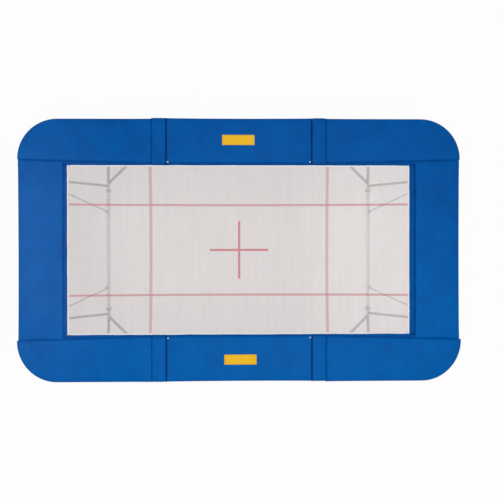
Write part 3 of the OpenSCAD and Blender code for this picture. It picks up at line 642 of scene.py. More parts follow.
# How far each pad lies from its even place, in mm: along X, and outwards at its inner and outer edge
LAID = {
    "side_pad_back": (0, 0, 5),
    "side_pad_front": (0, -8, 5),
    "corner_pad_left_back": (8, 0, -3),
    "corner_pad_left_front": (-2, -4, 6),
    "corner_pad_right_back": (15, 0, 0),
    "corner_pad_right_front": (29, -3, 11),
    "end_pad_left": (4, 0, 0),
    "end_pad_right": (18, 0, 0),
}


def eased(distance, over):
    """A quarter circle's height, from 0 at an edge to 1 at the given distance from it."""
    return np.sqrt(1 - (1 - np.clip(distance / over, 0, 1)) ** 2)


def stations(start, end, rim, step):
    """Places from start to end: two near each edge for its rounding, and even steps between."""
    inner = np.linspace(start + rim, end - rim, max(3, round((end - start - 2 * rim) / step) + 1))
    return np.concatenate([[start, start + NEAR_EDGE * rim], inner, [end - NEAR_EDGE * rim, end]])


def straight_form(pads, x0, x1, y0, y1, long_axis):
    """A straight pad's grid in plan, and each point's depth from the outline and from the two ends.
    Its sides draw in between its corners."""
    xs, ys = stations(x0, x1, pads.round, pads.step), stations(y0, y1, pads.round, pads.step)
    x, y = np.meshgrid(xs, ys, indexing="ij")
    depths = np.minimum(x - x0, x1 - x), np.minimum(y - y0, y1 - y)
    share_x, share_y = (x - x0) / (x1 - x0), (y - y0) / (y1 - y0)
    drawn_x = x - np.sin(math.pi * share_y) * pads.draw * (2 * share_x - 1)
    drawn_y = y - np.sin(math.pi * share_x) * pads.draw * (2 * share_y - 1)
    return np.stack([drawn_x, drawn_y], 2), np.minimum(*depths), depths[long_axis]


def seam(pads, x):
    """Distance of a corner pad's inner edge from the middle, at a place along the pad."""
    return pads.inner_side + pads.taper * (x - CORNER_PAD[0].x) / (CORNER_PAD[1].x - CORNER_PAD[0].x)


def corner_form(pads):
    """A corner pad's grid and depths, as for a straight one. It runs along the side and round to its tip."""
    x0, (x1, y1, _) = CORNER_PAD[0].x, CORNER_PAD[1]
    radius, tip, rows = pads.corner, 120 * MM, 34
    y0 = seam(pads, x1)
    centre_x, centre_y = x1 - radius, y1 - radius
    last = math.acos((y0 - centre_y) / radius)
    run = stations(x0, centre_x, pads.round, pads.step)[:-2]
    turn = np.sort(np.append(np.linspace(0, 1, rows), 1 - NEAR_EDGE / (rows - 1)))
    inner = np.concatenate([run, centre_x + turn * (x1 - tip - centre_x)])
    arc = np.stack([centre_x + radius * np.sin(last * turn), centre_y + radius * np.cos(last * turn)], 1)
    outer = np.concatenate([np.stack([run, np.full(len(run), y1)], 1), arc])
    across = stations(0, 1, pads.round / (y1 - y0), pads.step / (y1 - y0))
    near = np.stack([inner, seam(pads, inner)], 1)
    plan = near[:, None] + (outer - near)[:, None] * across[None, :, None]
    x, y = plan[..., 0], plan[..., 1]
    round_corner = radius - np.hypot(x - centre_x, y - centre_y)
    edge = np.where((x > centre_x) & (y > centre_y), round_corner, np.minimum(y1 - y, x1 - x))
    depth = np.maximum(0, np.minimum(np.minimum(y - seam(pads, x), x - x0), edge))
    # The crown runs on round the corner, so only the fold end counts as an end
    return plan, depth, np.minimum(x - x0, np.maximum(edge, 0) + 0.2)


def cover(name, pads, plan, depth, ends):
    """The closed cover of a pad from its form, and the indices of the points on its seam."""
    rows, columns = plan.shape[:2]
    middle = pads.underside + pads.edge / 2
    side = (pads.edge / 2 - 1.5 * MM) * eased(depth, pads.round)
    # The crown rises over 160 mm from the seams and over 350 mm from the pad's ends
    crown = pads.crown * np.minimum(eased(depth, 0.16), eased(ends, 0.35))
    upper = np.dstack([plan, middle + side + crown]).reshape(-1, 3)
    lower = np.dstack([plan, middle - side]).reshape(-1, 3)
    walk, place = edge_walk(rows, columns), np.arange(rows * columns)
    inside = np.setdiff1d(place, walk)
    place[inside] = rows * columns + np.arange(len(inside))
    points = np.concatenate([upper, lower[inside]])
    faces = np.concatenate([quads(rows, columns), place[quads(rows, columns, 0, True)]])
    piece = make_object(name, points, faces, points[:, :2])
    swell(piece, pads.swell)
    return piece, walk


def crease(piece, seed, corner=None):
    """Works shallow creases and hollows into the top of a pad, and more of them round a corner."""
    points = points_of(piece)
    normals = np.zeros(points.size)
    piece.data.vertices.foreach_get("normal", normals)
    normals = normals.reshape(-1, 3)
    # Hollows are about 340 mm and 120 mm long, and a corner's creases lie 43 mm apart
    depth = 0.9 * MM * waves(points, seed, 0.34) + 0.45 * MM * waves(points, seed + 1, 0.12)
    if corner is not None:
        away = np.linalg.norm(points[:, :2] - corner, axis=1)
        near = np.exp(-((away / 0.36) ** 2))
        streak = np.sin(points[:, 0] * TURN / (43 * MM) + 2.2 * waves(points, seed + 2, 0.3))
        depth += 1.9 * MM * near * streak * (0.5 + 0.5 * waves(points, seed + 3, 0.2))
    top = np.clip(normals[:, 2], 0, 1)
    put_points(piece, points + normals * (depth * top)[:, None])


def lay(piece):
    """Moves a pad to where hands left it. A corner pad stays at the fold, under its cover strip."""
    along, near, far = (v * MM for v in LAID[piece.name])
    points = points_of(piece)
    share = (np.abs(points[:, 1]) - SIDE_PAD[0].y) / (SIDE_PAD[1].y - SIDE_PAD[0].y)
    from_fold = (np.abs(points[:, 0]) - CORNER_PAD[0].x) / (END_PAD[0].x - CORNER_PAD[0].x)
    points[:, 0] += along * np.clip(from_fold, 0, 1)
    if near != far:
        points[:, 1] += np.sign(points[:, 1]) * (near + (far - near) * np.clip(share, 0, 1))
    put_points(piece, points)


def faces_out(pads, rim):
    """Which points of a pad's seam face away from the bed."""
    x, y = np.abs(rim[:, 0]), np.abs(rim[:, 1])
    side = y > SIDE_PAD[1].y - 12 * MM
    end = (x > END_PAD[1].x - 12 * MM) & (y < SIDE_PAD[0].y + 75 * MM)
    past_x, past_y = x - CORNER_PAD[1].x + pads.corner, y - CORNER_PAD[1].y + pads.corner
    turn = (past_x > 0) & (past_y > 0) & (np.hypot(past_x, past_y) > pads.corner - 15 * MM)
    return side | end | turn


def skirt(name, rim, keep, seed):
    """Vinyl that hangs from the kept part of a pad's seam to below the frame tube, with a folded hem."""
    start = int(np.argmax(keep & ~np.roll(keep, 1)))
    rolled, kept = np.roll(rim, -start, 0), np.roll(keep, -start)
    path = evenly(rolled if kept.all() else rolled[: int(np.argmin(kept))], 20 * MM)
    ahead = np.gradient(path, axis=0)
    out = np.stack([ahead[:, 1], -ahead[:, 0], np.zeros(len(path))], 1)
    out /= np.linalg.norm(out, axis=1, keepdims=True)
    if (out * path).sum() < 0:
        out = -out
    at, top = lengths(path), path[:, 2:3]
    drop = np.array([0, 0.06, 0.16, 0.3, 0.46, 0.62, 0.74, 0.8, 0.82, 0.9, 0.97, 1.0])
    draw = np.random.default_rng(seed)
    fold = sum(np.sin(at * TURN / draw.uniform(0.11, 0.34) + draw.uniform(0, TURN)) for _ in range(5))
    bulge = 1.0 * MM + 1.1 * MM * np.outer(fold, drop) + 2.2 * MM * np.sin(math.pi * drop)[None]
    z = top + (SIDE_PAD[0].z - top) * drop[None]
    grid = path[:, None] * (1, 1, 0) + out[:, None] * bulge[..., None] + z[..., None] * (0, 0, 1)
    # The hem is folded over, so it is thicker
    return shell(name, grid, np.where(drop >= 0.81, 3.4 * MM, 2.0 * MM)[None])


def place_pad(pads, piece, walk, node, body, seed, corner=None):
    """Takes one swollen cover to its finished pad, with its welt and skirt."""
    is_outer = faces_out(pads, points_of(piece)[walk])
    lay(piece)
    rim = points_of(piece)[walk]
    around = evenly(np.concatenate([rim, rim[:1]]), 16 * MM)[:-1]
    welt = make_object(piece.name + "_welt", *tube_parts(around, pads.welt, 6, closed=True))
    hanging = skirt(piece.name + "_skirt", rim, is_outer, seed)
    crease(piece, seed, corner)
    subdivide(piece)
    for made in (welt, hanging, piece):
        finish_piece(made, pad_vinyl(pads), body)
    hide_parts(node)


def flap(name, pads, a, b, inward, wide, body=None, tuck=18 * MM, above=3 * MM):
    """Vinyl from a to b in plan, which is tucked under a pad's inner edge and ends above the bed.
    Its colour is darker than the pads' and paints the shade under the pad's edge.
    """
    a, b, inward = np.array(a), np.array(b), np.array(inward)
    count = max(8, int(np.linalg.norm(b - a) / (20 * MM)))
    along = a + (b - a) * np.linspace(0, 1, count)[:, None]
    high, low = pads.underside, BED[1].z + above
    section = [
        (-tuck, high - 1.6 * MM),
        (0.1 * wide, high - 1.8 * MM),
        (0.35 * wide, high - 3.2 * MM),
        (0.7 * wide, high + (low - high) * 0.72),
        (0.93 * wide, low + 1 * MM),
        (wide, low),
    ]
    grid = np.zeros((count, len(section), 3))
    rough = waves(along, int(abs(a.sum()) * 97) + 5, 0.3)
    for k, (away, z) in enumerate(section):
        grid[:, k, :2] = along + inward * (away - 1.2 * MM * rough * (k / 5) ** 2)[..., None]
        grid[:, k, 2] = z
    piece = shell(name, grid, 2.4 * MM)
    finish_piece(piece, flap_vinyl_painted_shade(pads), body)
    return piece


def seam_backing(name, pads, x, y, body):
    """Vinyl under the seam between a corner pad and an end pad, in the flaps' darker colour that paints the
    seam's shade.
    """
    xs = np.linspace(pads.inner_end - 26 * MM, END_PAD[1].x - 8 * MM, 24)
    grid = np.stack(np.meshgrid(xs, np.linspace(-26 * MM, 26 * MM, 6), indexing="ij"), 2)
    grid[..., 1] += seam(pads, grid[..., 0])
    bend = 0.8 * MM * waves(grid, 90 + 2 * x + y, 0.2)
    grid = np.dstack([grid, pads.underside + 4 * MM + bend]) * (x, y, 1)
    backing = shell(name, grid[::-1] if x * y < 0 else grid, 1.6 * MM)
    finish_piece(backing, flap_vinyl_painted_shade(pads), body)


def stitches(name, path, rgb, body):
    """A row of lockstitches along a path, each a short raised bar of thread."""
    path = evenly(path, 11 * MM)
    points, faces = [], []
    for here, there in zip(path[:-1], path[1:]):
        end = here + (there - here) * 0.66
        bar = np.stack([here, (here + end) / 2 + (0, 0, 0.3 * MM), end])
        made, shown = tube_parts(bar, 0.7 * MM, 5)
        faces += [[len(made) * len(points) + i for i in face] for face in shown]
        points.append(made)
    finish_piece(make_object(name, np.concatenate(points), faces), thread(rgb), body)


class TRAMPOLINE_OT_side_pads(bpy.types.Operator):
    """Makes the middle pads of the two long sides"""

    bl_idname = "trampoline.side_pads"
    bl_label = "Side pads"

    def execute(self, context):
        pads = context.scene.trampoline.pads
        half, inner = SIDE_PAD[1].x, pads.inner_side
        form = straight_form(pads, -half, half, inner, SIDE_PAD[1].y, 0)
        first, walk = cover("side_form", pads, *form)
        for side, y in reversed(SIDES):
            name = "side_pad_" + side
            place_pad(pads, mirrored(first, name, 1, y), walk, "pad_" + side, MIDDLE, 20 + y)
            a, b = (-half, y * inner), (half, y * inner)
            flap(name + "_flap", pads, a, b, (0, -y), inner - pads.open_side, MIDDLE)
        bpy.data.objects.remove(first)
        return {"FINISHED"}


class TRAMPOLINE_OT_corner_pads(bpy.types.Operator):
    """Makes the four pads that run round the frame's corners"""

    bl_idname = "trampoline.corner_pads"
    bl_label = "Corner pads"

    def execute(self, context):
        pads = context.scene.trampoline.pads
        inner = pads.inner_side
        first, walk = cover("corner_form", pads, *corner_form(pads))
        # Creases are deepest about a place 160 mm in from the corner's outermost lines
        deepest = np.array([CORNER_PAD[1].x - 0.16, CORNER_PAD[1].y - 0.16])
        for end, x, side, y in CORNERS:
            name, body = f"corner_pad_{end}_{side}", "end_frame_" + end
            node, seed = f"pad_{end}_corner_{side}", 40 + 2 * x + y
            place_pad(pads, mirrored(first, name, x, y), walk, node, body, seed, deepest * (x, y))
            a, b = (x * CORNER_PAD[0].x, y * inner), (x * (pads.inner_end + 30 * MM), y * inner)
            wide, tuck = inner - pads.open_side, pads.taper + 14 * MM
            flap(name + "_flap", pads, a, b, (0, -y), wide, body, tuck)
            seam_backing(f"seam_backing_{end}_{side}", pads, x, y, body)
        bpy.data.objects.remove(first)
        return {"FINISHED"}


class TRAMPOLINE_OT_end_pads(bpy.types.Operator):
    """Makes the pads at the two ends"""

    bl_idname = "trampoline.end_pads"
    bl_label = "End pads"

    def execute(self, context):
        pads = context.scene.trampoline.pads
        half, inner = pads.inner_side, pads.inner_end
        plan, depth, ends = straight_form(pads, inner, END_PAD[1].x, -half, half, 1)
        # The ends follow the corner pads' seams, with 1 mm between the covers
        plan[..., 1] *= (seam(pads, plan[..., 0]) - 1 * MM) / half
        first, walk = cover("end_form", pads, plan, depth, ends)
        reach = pads.open_side - 2 * MM
        for end, x in ENDS:
            name, body = "end_pad_" + end, "end_frame_" + end
            place_pad(pads, mirrored(first, name, x, 1), walk, f"pad_{end}_end", body, 60 + x)
            a, b = (x * inner, -reach), (x * inner, reach)
            flap(name + "_flap", pads, a, b, (-x, 0), inner - pads.open_end, body, 42 * MM)
        bpy.data.objects.remove(first)
        return {"FINISHED"}


def bend_at_fold(piece):
    """Bakes a piece's transform into its points. The piece is not made to bend at the fold line."""
    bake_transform(piece)


class TRAMPOLINE_OT_fold_covers(bpy.types.Operator):
    """Makes the cover strips and flaps that bridge the pads over the four folds"""

    bl_idname = "trampoline.fold_covers"
    bl_label = "Fold covers"

    def execute(self, context):
        pads = context.scene.trampoline.pads
        half = (FOLD_COVER[1].x - FOLD_COVER[0].x) / 2
        inner, outer = pads.inner_side, SIDE_PAD[1].y
        top = pads.underside + pads.edge + pads.crown + 2.5 * MM
        # The strip's section, from its inner edge over the pads and down outside the skirts
        section = [(inner - 3.5 * MM, top - 30 * MM), (inner - 3.5 * MM, top - 16 * MM)]
        section += [(inner - 1.5 * MM, top - 5 * MM), (inner + 6 * MM, top)]
        section += [(y, top) for y in np.linspace(inner + 24 * MM, outer - 20 * MM, 24)]
        section += [(outer - 4 * MM, top - 1 * MM), (outer + 1.5 * MM, top - 7 * MM)]
        section += [(outer + 2.5 * MM, top - 18 * MM)]
        section += [(outer + 3 * MM, z) for z in np.linspace(top - 34 * MM, SIDE_PAD[0].z, 8)]
        section = np.array(section)
        turn = np.gradient(section, axis=0)
        out = np.stack([-turn[:, 1], turn[:, 0]], 1)
        out /= np.linalg.norm(out, axis=1, keepdims=True)
        # It arches over the hinge, and less near the edges of the pads
        offsets = np.linspace(-half, half, 29)
        away = section[:, 0]
        rise = np.clip((away - inner) / (30 * MM), 0, 1)
        rise = rise * np.clip((outer + 3 * MM - away) / (30 * MM), 0.15, 1)
        arch = 17.5 * MM * (1 - (offsets / half) ** 2)[:, None] * rise[None]
        flat = np.stack(np.meshgrid(offsets, away, indexing="ij"), 2)
        for end, x, side, y in CORNERS:
            lift = arch + 0.8 * MM * waves(flat, 70 + 2 * x + y, 0.1)
            grid = np.zeros((*lift.shape, 3))
            grid[..., 0] = FOLD_X - 8 * MM + offsets[:, None]
            grid[..., 1:] = section + out * lift[..., None]
            grid = grid * (x, y, 1)
            name = f"fold_strip_{end}_{side}"
            strip = shell(name, grid[::-1] if x * y < 0 else grid, 2.2 * MM)
            finish_piece(strip, pad_vinyl(pads))
            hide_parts(f"fold_cover_{end}_{side}")
            bend_at_fold(strip)
            # Tapes are sewn on top of its two edges, and the inner one reaches one row past the strip. Their
            # near-black vinyl paints the shadow line along the strip's raised edges.
            face = grid_normals(grid)
            face *= np.sign(face[14, 14, 2])
            raised = grid + face * 1.9 * MM
            inner_band = np.concatenate([raised[:1] + (grid[:1] - grid[1:2]), raised[:3]])
            for place, body, band in (
                ("inner", MIDDLE, inner_band),
                ("outer", "end_frame_" + end, raised[:-3:-1]),
            ):
                if np.cross(band[1, 14] - band[0, 14], band[0, 15] - band[0, 14])[2] < 0:
                    band = band[::-1]
                tape = shell(f"{name}_{place}_edge", band, 1.2 * MM)
                finish_piece(tape, binding_vinyl_painted_shade(), body)
                seam_line = band.mean(0) + (0, 0, 0.9 * MM)
                stitches(f"{name}_{place}_stitches", seam_line, linear("#0c3f86"), body)
            a, b = (x * (FOLD_X - 80 * MM), y * inner), (x * (FOLD_X + 64 * MM), y * inner)
            wide = inner - pads.open_side
            bridge = flap(f"fold_flap_{end}_{side}", pads, a, b, (0, -y), wide, above=5.6 * MM)
            bend_at_fold(bridge)
        return {"FINISHED"}


def on_side_pad(context, side, places, above):
    """Points just above the top of a side pad, at places in plan."""
    pad = bpy.data.objects["side_pad_" + side]
    tree = BVHTree.FromObject(pad, context.evaluated_depsgraph_get())
    start_z, down = CAD_BOX[1].z + 0.2, Vector((0, 0, -1))
    hits = [tree.ray_cast(Vector((x, y, start_z)), down)[0] for x, y in places]
    if any(hit is None for hit in hits):
        raise RuntimeError(f"a label or button misses side_pad_{side}")
    return np.array(hits) + (0, 0, above)


class TRAMPOLINE_OT_labels(bpy.types.Operator):
    """Makes the bare labels on the side pads and the buttons at the folds"""

    bl_idname = "trampoline.labels"
    bl_label = "Labels and buttons"

    def execute(self, context):
        pads = context.scene.trampoline.pads
        yellow = finish(coated_vinyl, "printed_vinyl_yellow", tuple(pads.label), 0.45, 0.0)
        half_x, half_y = 192 * MM, 60 * MM
        for side, x, y in (("back", -0.008, 1.303), ("front", 0.013, -1.301)):
            xs, ys = np.linspace(x - half_x, x + half_x, 25), np.linspace(y - half_y, y + half_y, 13)
            places = np.stack(np.meshgrid(xs, ys, indexing="ij"), 2).reshape(-1, 2)
            grid = on_side_pad(context, side, places, 0.9 * MM).reshape(len(xs), len(ys), 3)
            finish_piece(shell("label_" + side, grid, 1.2 * MM), yellow, MIDDLE)
            inset = grid[1:-1, 1:-1]
            border = inset.reshape(-1, 3)[edge_walk(*inset.shape[:2])] + (0, 0, 0.8 * MM)
            border = np.concatenate([border, border[:1]])
            stitches(f"label_{side}_stitches", border, linear("#6b5416"), MIDDLE)
        button = finish(moulded, "moulded_acetal_white", linear("#d8e2ee"), 0.35, 0.6)
        # A button's radius and height in mm, from its foot to the middle of its top
        rings = [(9, -1), (9.4, 0.6), (9, 2.2), (7.4, 3.6), (4.6, 4.5), (1.6, 4.9)]
        around = np.arange(20) * TURN / 20
        shape = [(r * math.cos(a), r * math.sin(a), h) for r, h in rings for a in around]
        for end, x, side, y in CORNERS:
            centre = (x * (FOLD_X - 112 * MM), y * (pads.inner_side + 14 * MM))
            points = on_side_pad(context, side, [centre], 0) + np.array(shape) * MM
            knob = make_object(f"button_{end}_{side}", points, ring_faces(len(rings), len(around)))
            finish_piece(knob, button, MIDDLE)
        return {"FINISHED"}


# ---- Bed ----

# Half the length of the marking lines along X and Y, where their bow ends
LINE_END_X, LINE_END_Y = 2.07, 1.03


def bed_grid(bed, springs, xs, ys, way):
    """Points of half the bed and their places on the cloth, mirrored to the left end where way is -1."""
    far_x, far_y = BED[1].x, BED[1].y
    x, y = np.meshgrid(xs, ys, indexing="ij")
    hang = (1 - (x / far_x) ** 2) * (1 - (y / far_y) ** 2)
    z = (BED[0].z + BED[1].z) / 2 - bed.sag * np.clip(hang, 0, 1)
    # At the edge, each spring pulls the cloth out by 1.5 mm, and between springs it stays back
    near_side = np.clip((np.abs(y) / far_y - 0.9) / 0.1, 0, 1)
    near_end = np.clip((x / far_x - 0.94) / 0.06, 0, 1)
    pull_y = near_side * (1.5 * MM * np.cos(x * TURN / springs.side_pitch))
    pull_x = near_end * (1.5 * MM * np.cos((y - springs.end_pitch / 2) * TURN / springs.end_pitch))
    bow_x = (1 - (y / LINE_END_Y) ** 2) * x / bed.line_x * bed.bow
    bow_y = (1 - (x / LINE_END_X) ** 2) * y / bed.line_y * bed.bow
    uv = np.stack([x + np.clip(bow_x, 0, 1), y + np.where(np.abs(x) < LINE_END_X, bow_y, 0)], 2)
    grid = np.stack([x + pull_x, y + np.sign(y) * pull_y, z], 2) * (way, 1, 1)
    return (grid[::-1], uv[::-1]) if way < 0 else (grid, uv)


class TRAMPOLINE_OT_bed(bpy.types.Operator):
    """Makes the woven bed and its webbing hem, in two halves that meet in the middle"""

    bl_idname = "trampoline.bed"
    bl_label = "Bed"

    def execute(self, context):
        bed, springs = context.scene.trampoline.bed, context.scene.trampoline.springs
        nylon = finish(woven_nylon, "woven_nylon_string", bed)
        tape = finish(webbing, "polyester_webbing_white", linear("#fbfaf8"))
        far_x, far_y = BED[1].x, BED[1].y
        # Rows lie closer where the bed bends at the fold
        reach = 37 * MM
        near = np.linspace(FOLD_X - reach, FOLD_X + reach, 13)
        xs, ys = np.linspace(0, far_x, 112), np.linspace(-far_y, far_y, 112)
        xs = np.sort(np.concatenate([xs[np.abs(xs - FOLD_X) > reach + 8 * MM], near]))
        side_xs = xs[xs <= far_x - bed.hem_end + 12 * MM]
        strips = (
            ("back", side_xs, np.linspace(far_y - bed.hem_side, far_y, 5), 4.0 * MM),
            ("front", side_xs, np.linspace(-far_y, bed.hem_side - far_y, 5), 4.0 * MM),
            ("end", np.linspace(far_x - bed.hem_end, far_x, 6), ys, 4.2 * MM),
        )
        for end, way in ENDS:
            grid, uv = bed_grid(bed, springs, xs, ys, way)
            uv = (uv * (way, 1)).reshape(-1, 2)
            cloth = make_object(f"bed_{end}_half", grid.reshape(-1, 3), quads(*grid.shape[:2]), uv)
            finish_piece(cloth, nylon)
            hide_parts("bed_middle", "bed_" + end)
            for place, x_list, y_list, thick in strips:
                strip, uv = bed_grid(bed, springs, x_list, y_list, way)
                # The tape's length is u on its material
                hem = shell(f"hem_{end}_{place}", strip, thick, uv[..., ::-1] if place == "end" else uv)
                finish_piece(hem, tape)
                if place == "end":
                    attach(hem, "end_frame_" + end)
                else:
                    bend_at_fold(hem)
            bend_at_fold(cloth)
        return {"FINISHED"}


# ---- Springs ----


def arc(radius, start, stop, step):
    """X and Y of points on a circle, at angles in degrees."""
    angles = [math.radians(a) for a in range(start, stop, step)]
    return [(radius * math.cos(a), radius * math.sin(a)) for a in angles]


def spring_path(settings, reach, segments=9):
    """The wire of one spring, from its pin towards the bed: a flat hook, the coil and an upright hook."""
    # In mm: where the coil starts past the pin, where it and the ring's middle are short of the bed
    first, last, ring = 12.9, reach / MM - 51.9, reach / MM - 38.9
    cone, radius = 16.0, settings.coil / MM
    hook = [(0.9 + x, y, 0) for x, y in arc(8, 120, 331, 15)]
    neck = [(9.4, -2.0, 0), (11.6, -0.3, 0)]
    turns = round((last - first - 2 * cone) / (settings.turn / MM)) + 4
    share = np.linspace(0, 1, turns * segments + 1)
    angle, along = share * turns * TURN, first + share * (last - first)
    wide = radius * np.clip(np.minimum(along - first, last - along) / cone, 0, 1)
    helix = np.stack([along, wide * np.cos(angle), wide * np.sin(angle)], 1)
    leave = [(last + 1.6, 0, -0.2), (last + 3.4, 0, -2.0)]
    eye = [(ring - x, 0, z) for x, z in arc(9, 330, 119, -15)]
    return np.concatenate([hook, neck, helix, leave, eye]) * MM


class TRAMPOLINE_OT_springs(bpy.types.Operator):
    """Makes the coil springs with their hooks"""

    bl_idname = "trampoline.springs"
    bl_label = "Springs"

    def execute(self, context):
        springs = context.scene.trampoline.springs
        pitch = springs.side_pitch
        middle = [(i - (springs.middle - 1) / 2) * pitch for i in range(springs.middle)]
        outer = [(springs.middle + 1) / 2 * pitch + i * pitch for i in range(springs.side)]
        ends = [(i - (springs.end - 1) / 2) * springs.end_pitch for i in range(springs.end)]
        for side, y in SIDES:
            self.row(springs, "middle_" + side, MIDDLE, middle, 1, y)
            for end, x in ENDS:
                self.row(springs, f"{end}_{side}", "end_frame_" + end, outer, x, y)
        for end, x in ENDS:
            self.row(springs, end + "_end", "end_frame_" + end, ends, x)
        return {"FINISHED"}

    def row(self, springs, name, body, places, x, y=0):
        """One row of springs at the given places, as one piece that stands for its node. y is 0 at an end."""
        pin, edge = (springs.side_pin, BED[1].y) if y else (springs.end_pin, BED[1].x)
        points, faces = tube_parts(spring_path(springs, pin - edge), springs.wire, 5)
        along, sideways, up = points.T
        if x * (y or 1) < 0:
            faces = [face[::-1] for face in faces]
        every, shown = [], []
        for number, place in enumerate(places):
            if y:
                spring = [x * (place + sideways), y * (pin - along), up + springs.height]
            else:
                spring = [x * (pin - along), place - sideways, up + springs.height]
            every.append(np.stack(spring, 1))
            shown += [[number * len(points) + i for i in face] for face in faces]
        piece = make_object("coils_" + name, np.concatenate(every), shown)
        steel = finish(plated, "drawn_spring_steel", linear("#a6abae"), 0.3, 3.0)
        finish_piece(piece, steel, body)
        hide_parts("springs_" + name)


# ---- Finishes of the frame ----

TUBES = ("side_rail", "end_rail", "leg_inner", "leg_outer", "brace_left", "brace_right")
PLATES = ("hinge_forks", "hinge_tongues", "leg_brackets", "brace_brackets", "leg_cups")


class TRAMPOLINE_OT_finishes(bpy.types.Operator):
    """Gives the frame, legs, hinges, rings and feet their finishes"""

    bl_idname = "trampoline.finishes"
    bl_label = "Frame finishes"

    def execute(self, context):
        springs = context.scene.trampoline.springs
        finishes = {
            # The floor bar's galvanised steel is made near white, a painted highlight of the light on it
            # under the bed
            "floor_bar": finish(galvanised, "galvanised_steel_painted_highlight", linear("#f0f1f2"), 0.3),
            TUBES: finish(galvanised, "hot_dip_galvanised_steel", linear("#9a9ea1"), 0.36),
            PLATES: finish(galvanised, "galvanised_plate", linear("#989da0"), 0.5),
            "bed_rings": finish(ring_and_loop, "plated_rings_in_webbing", springs),
            "feet": finish(moulded, "moulded_rubber_grey", linear("#d2d3d3"), 0.7, 1.5),
            # Bolts and pins are the nodes that are left
            "": finish(plated, "zinc_plated_steel", linear("#b9bcb4"), 0.3, 2.0),
        }
        for name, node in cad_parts.items():
            node.data.materials.clear()
            node.data.materials.append(next(finishes[key] for key in finishes if name.startswith(key)))
        return {"FINISHED"}


# ---- Stage ----

# Place of each lamp, its size along X and Y, and its share of the main lamp's power
LAMPS = {
    "main_lamp": ((1.4, -0.9, 9.8), (9.0, 9.0), 1.0),
    "side_lamp": ((-4.9, 0.0, 9.6), (1.6, 6.0), 0.36),
}
LAMPS_AIM = Vector((0, 0, 1))
CAMERA_PLACE = (-0.041, 0.021, 9.644)
CAMERA_TURN = (-0.3082, -1.3039, -0.0943)
FLOOR_RADIUS, FLOOR_SIDES = 40.0, 64


def seen_directly(add):
    """1 for rays of the camera, of a reflection or through glass, which see floor and world as white."""
    ray = add("LightPath").outputs
    bounced = add("Math MAXIMUM", [ray["Is Glossy Ray"], ray["Is Transmission Ray"]])
    return add("Math MAXIMUM", [ray["Is Camera Ray"], bounced])


def pale_paper(add, rgb):
    """Pale seamless paper. It shows near white and keeps the object's soft shadow."""
    place = add("TexCoord").outputs["Object"]
    # The paper's fibre clouds are a few mm wide, drawn about 33 mm across so that they show
    fibre = add("TexNoise", {"Vector": place, "Scale": 30.0, "Detail": 4.0})
    tone = add("ValToRGB", [fibre], [(0.3, shade(rgb, 0.985)), (0.7, rgb)])
    light = add("Emission", {"Color": WHITE, "Strength": 1.0})
    lit = add("Math MULTIPLY", [seen_directly(add), 0.95])
    return add("MixShader", [lit, add("BsdfDiffuse", {"Color": tone}), light])


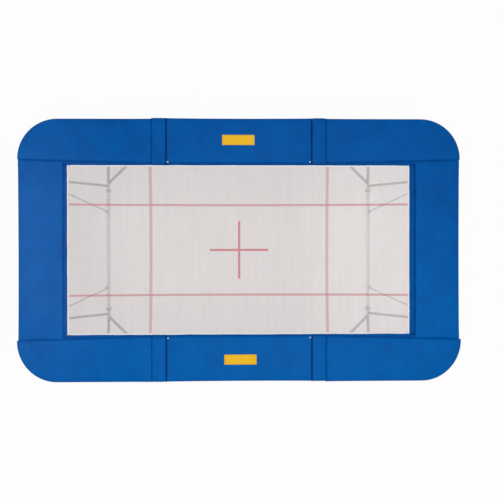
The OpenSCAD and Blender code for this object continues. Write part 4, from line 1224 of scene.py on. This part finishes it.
class TRAMPOLINE_OT_stage(bpy.types.Operator):
    """Makes the floor, the lights and the camera"""

    bl_idname = "trampoline.stage"
    bl_label = "Stage"

    def execute(self, context):
        settings, scene = context.scene.trampoline.stage, context.scene
        angles = np.arange(FLOOR_SIDES) * TURN / FLOOR_SIDES
        rim = [(FLOOR_RADIUS * math.cos(a), FLOOR_RADIUS * math.sin(a), 0) for a in angles]
        floor = make_object("floor", rim, [range(FLOOR_SIDES)])
        floor.data.materials.append(finish(pale_paper, "seamless_paper_white", tuple(settings.floor)))
        world = scene.world = bpy.data.worlds.new("studio")
        world.use_nodes = True
        world.node_tree.nodes.clear()
        add = partial(add_node, world.node_tree)
        soft = add("Background", {"Color": (0.93, 0.96, 1.0), "Strength": settings.sky})
        white = add("Background", {"Color": WHITE, "Strength": 1.0})
        add("OutputWorld", [add("MixShader", [seen_directly(add), soft, white])])
        for name, (place, size, share) in LAMPS.items():
            lamp = bpy.data.lights.new(name, "AREA")
            lamp.shape = "ELLIPSE"
            (lamp.size, lamp.size_y), lamp.energy = size, share * settings.lamp
            body = bpy.data.objects.new(name, lamp)
            scene.collection.objects.link(body)
            body.location = place
            body.rotation_euler = (LAMPS_AIM - Vector(place)).to_track_quat("-Z", "Y").to_euler()
        camera = bpy.data.cameras.new("camera")
        camera.lens, camera.sensor_width, camera.clip_end = settings.lens, 36.0, 200.0
        view = scene.camera = bpy.data.objects.new("camera", camera)
        scene.collection.objects.link(view)
        view.location = CAMERA_PLACE
        view.rotation_euler = [math.radians(a) for a in CAMERA_TURN]
        scene.view_settings.view_transform = "Standard"
        return {"FINISHED"}


class TRAMPOLINE_PT_panel(bpy.types.Panel):
    """Lists the trampoline's pieces"""

    bl_idname = "TRAMPOLINE_PT_panel"
    bl_label = "Trampoline"
    bl_space_type = "VIEW_3D"
    bl_region_type = "UI"
    bl_category = "Trampoline"

    def draw(self, context):
        settings = context.scene.trampoline
        for group in (settings.pads, settings.bed, settings.springs, settings.stage):
            box = self.layout.box()
            for key in group.__annotations__:
                box.prop(group, key)
        for operator in OPERATORS:
            self.layout.operator(operator.bl_idname)


OPERATORS = (
    TRAMPOLINE_OT_finishes,
    TRAMPOLINE_OT_side_pads,
    TRAMPOLINE_OT_corner_pads,
    TRAMPOLINE_OT_end_pads,
    TRAMPOLINE_OT_fold_covers,
    TRAMPOLINE_OT_labels,
    TRAMPOLINE_OT_bed,
    TRAMPOLINE_OT_springs,
    TRAMPOLINE_OT_stage,
)
CLASSES = (
    TrampolinePadSettings,
    TrampolineBedSettings,
    TrampolineSpringSettings,
    TrampolineStageSettings,
    TrampolineSettings,
    *OPERATORS,
    TRAMPOLINE_PT_panel,
)


def register():
    for made in CLASSES:
        bpy.utils.register_class(made)
    bpy.types.Scene.trampoline = PointerProperty(type=TrampolineSettings)


def unregister():
    del bpy.types.Scene.trampoline
    for made in reversed(CLASSES):
        bpy.utils.unregister_class(made)


def main():
    register()
    for operator in OPERATORS:
        group, name = operator.bl_idname.split(".")
        getattr(getattr(bpy.ops, group), name)()


if __name__ == "__main__":
    main()
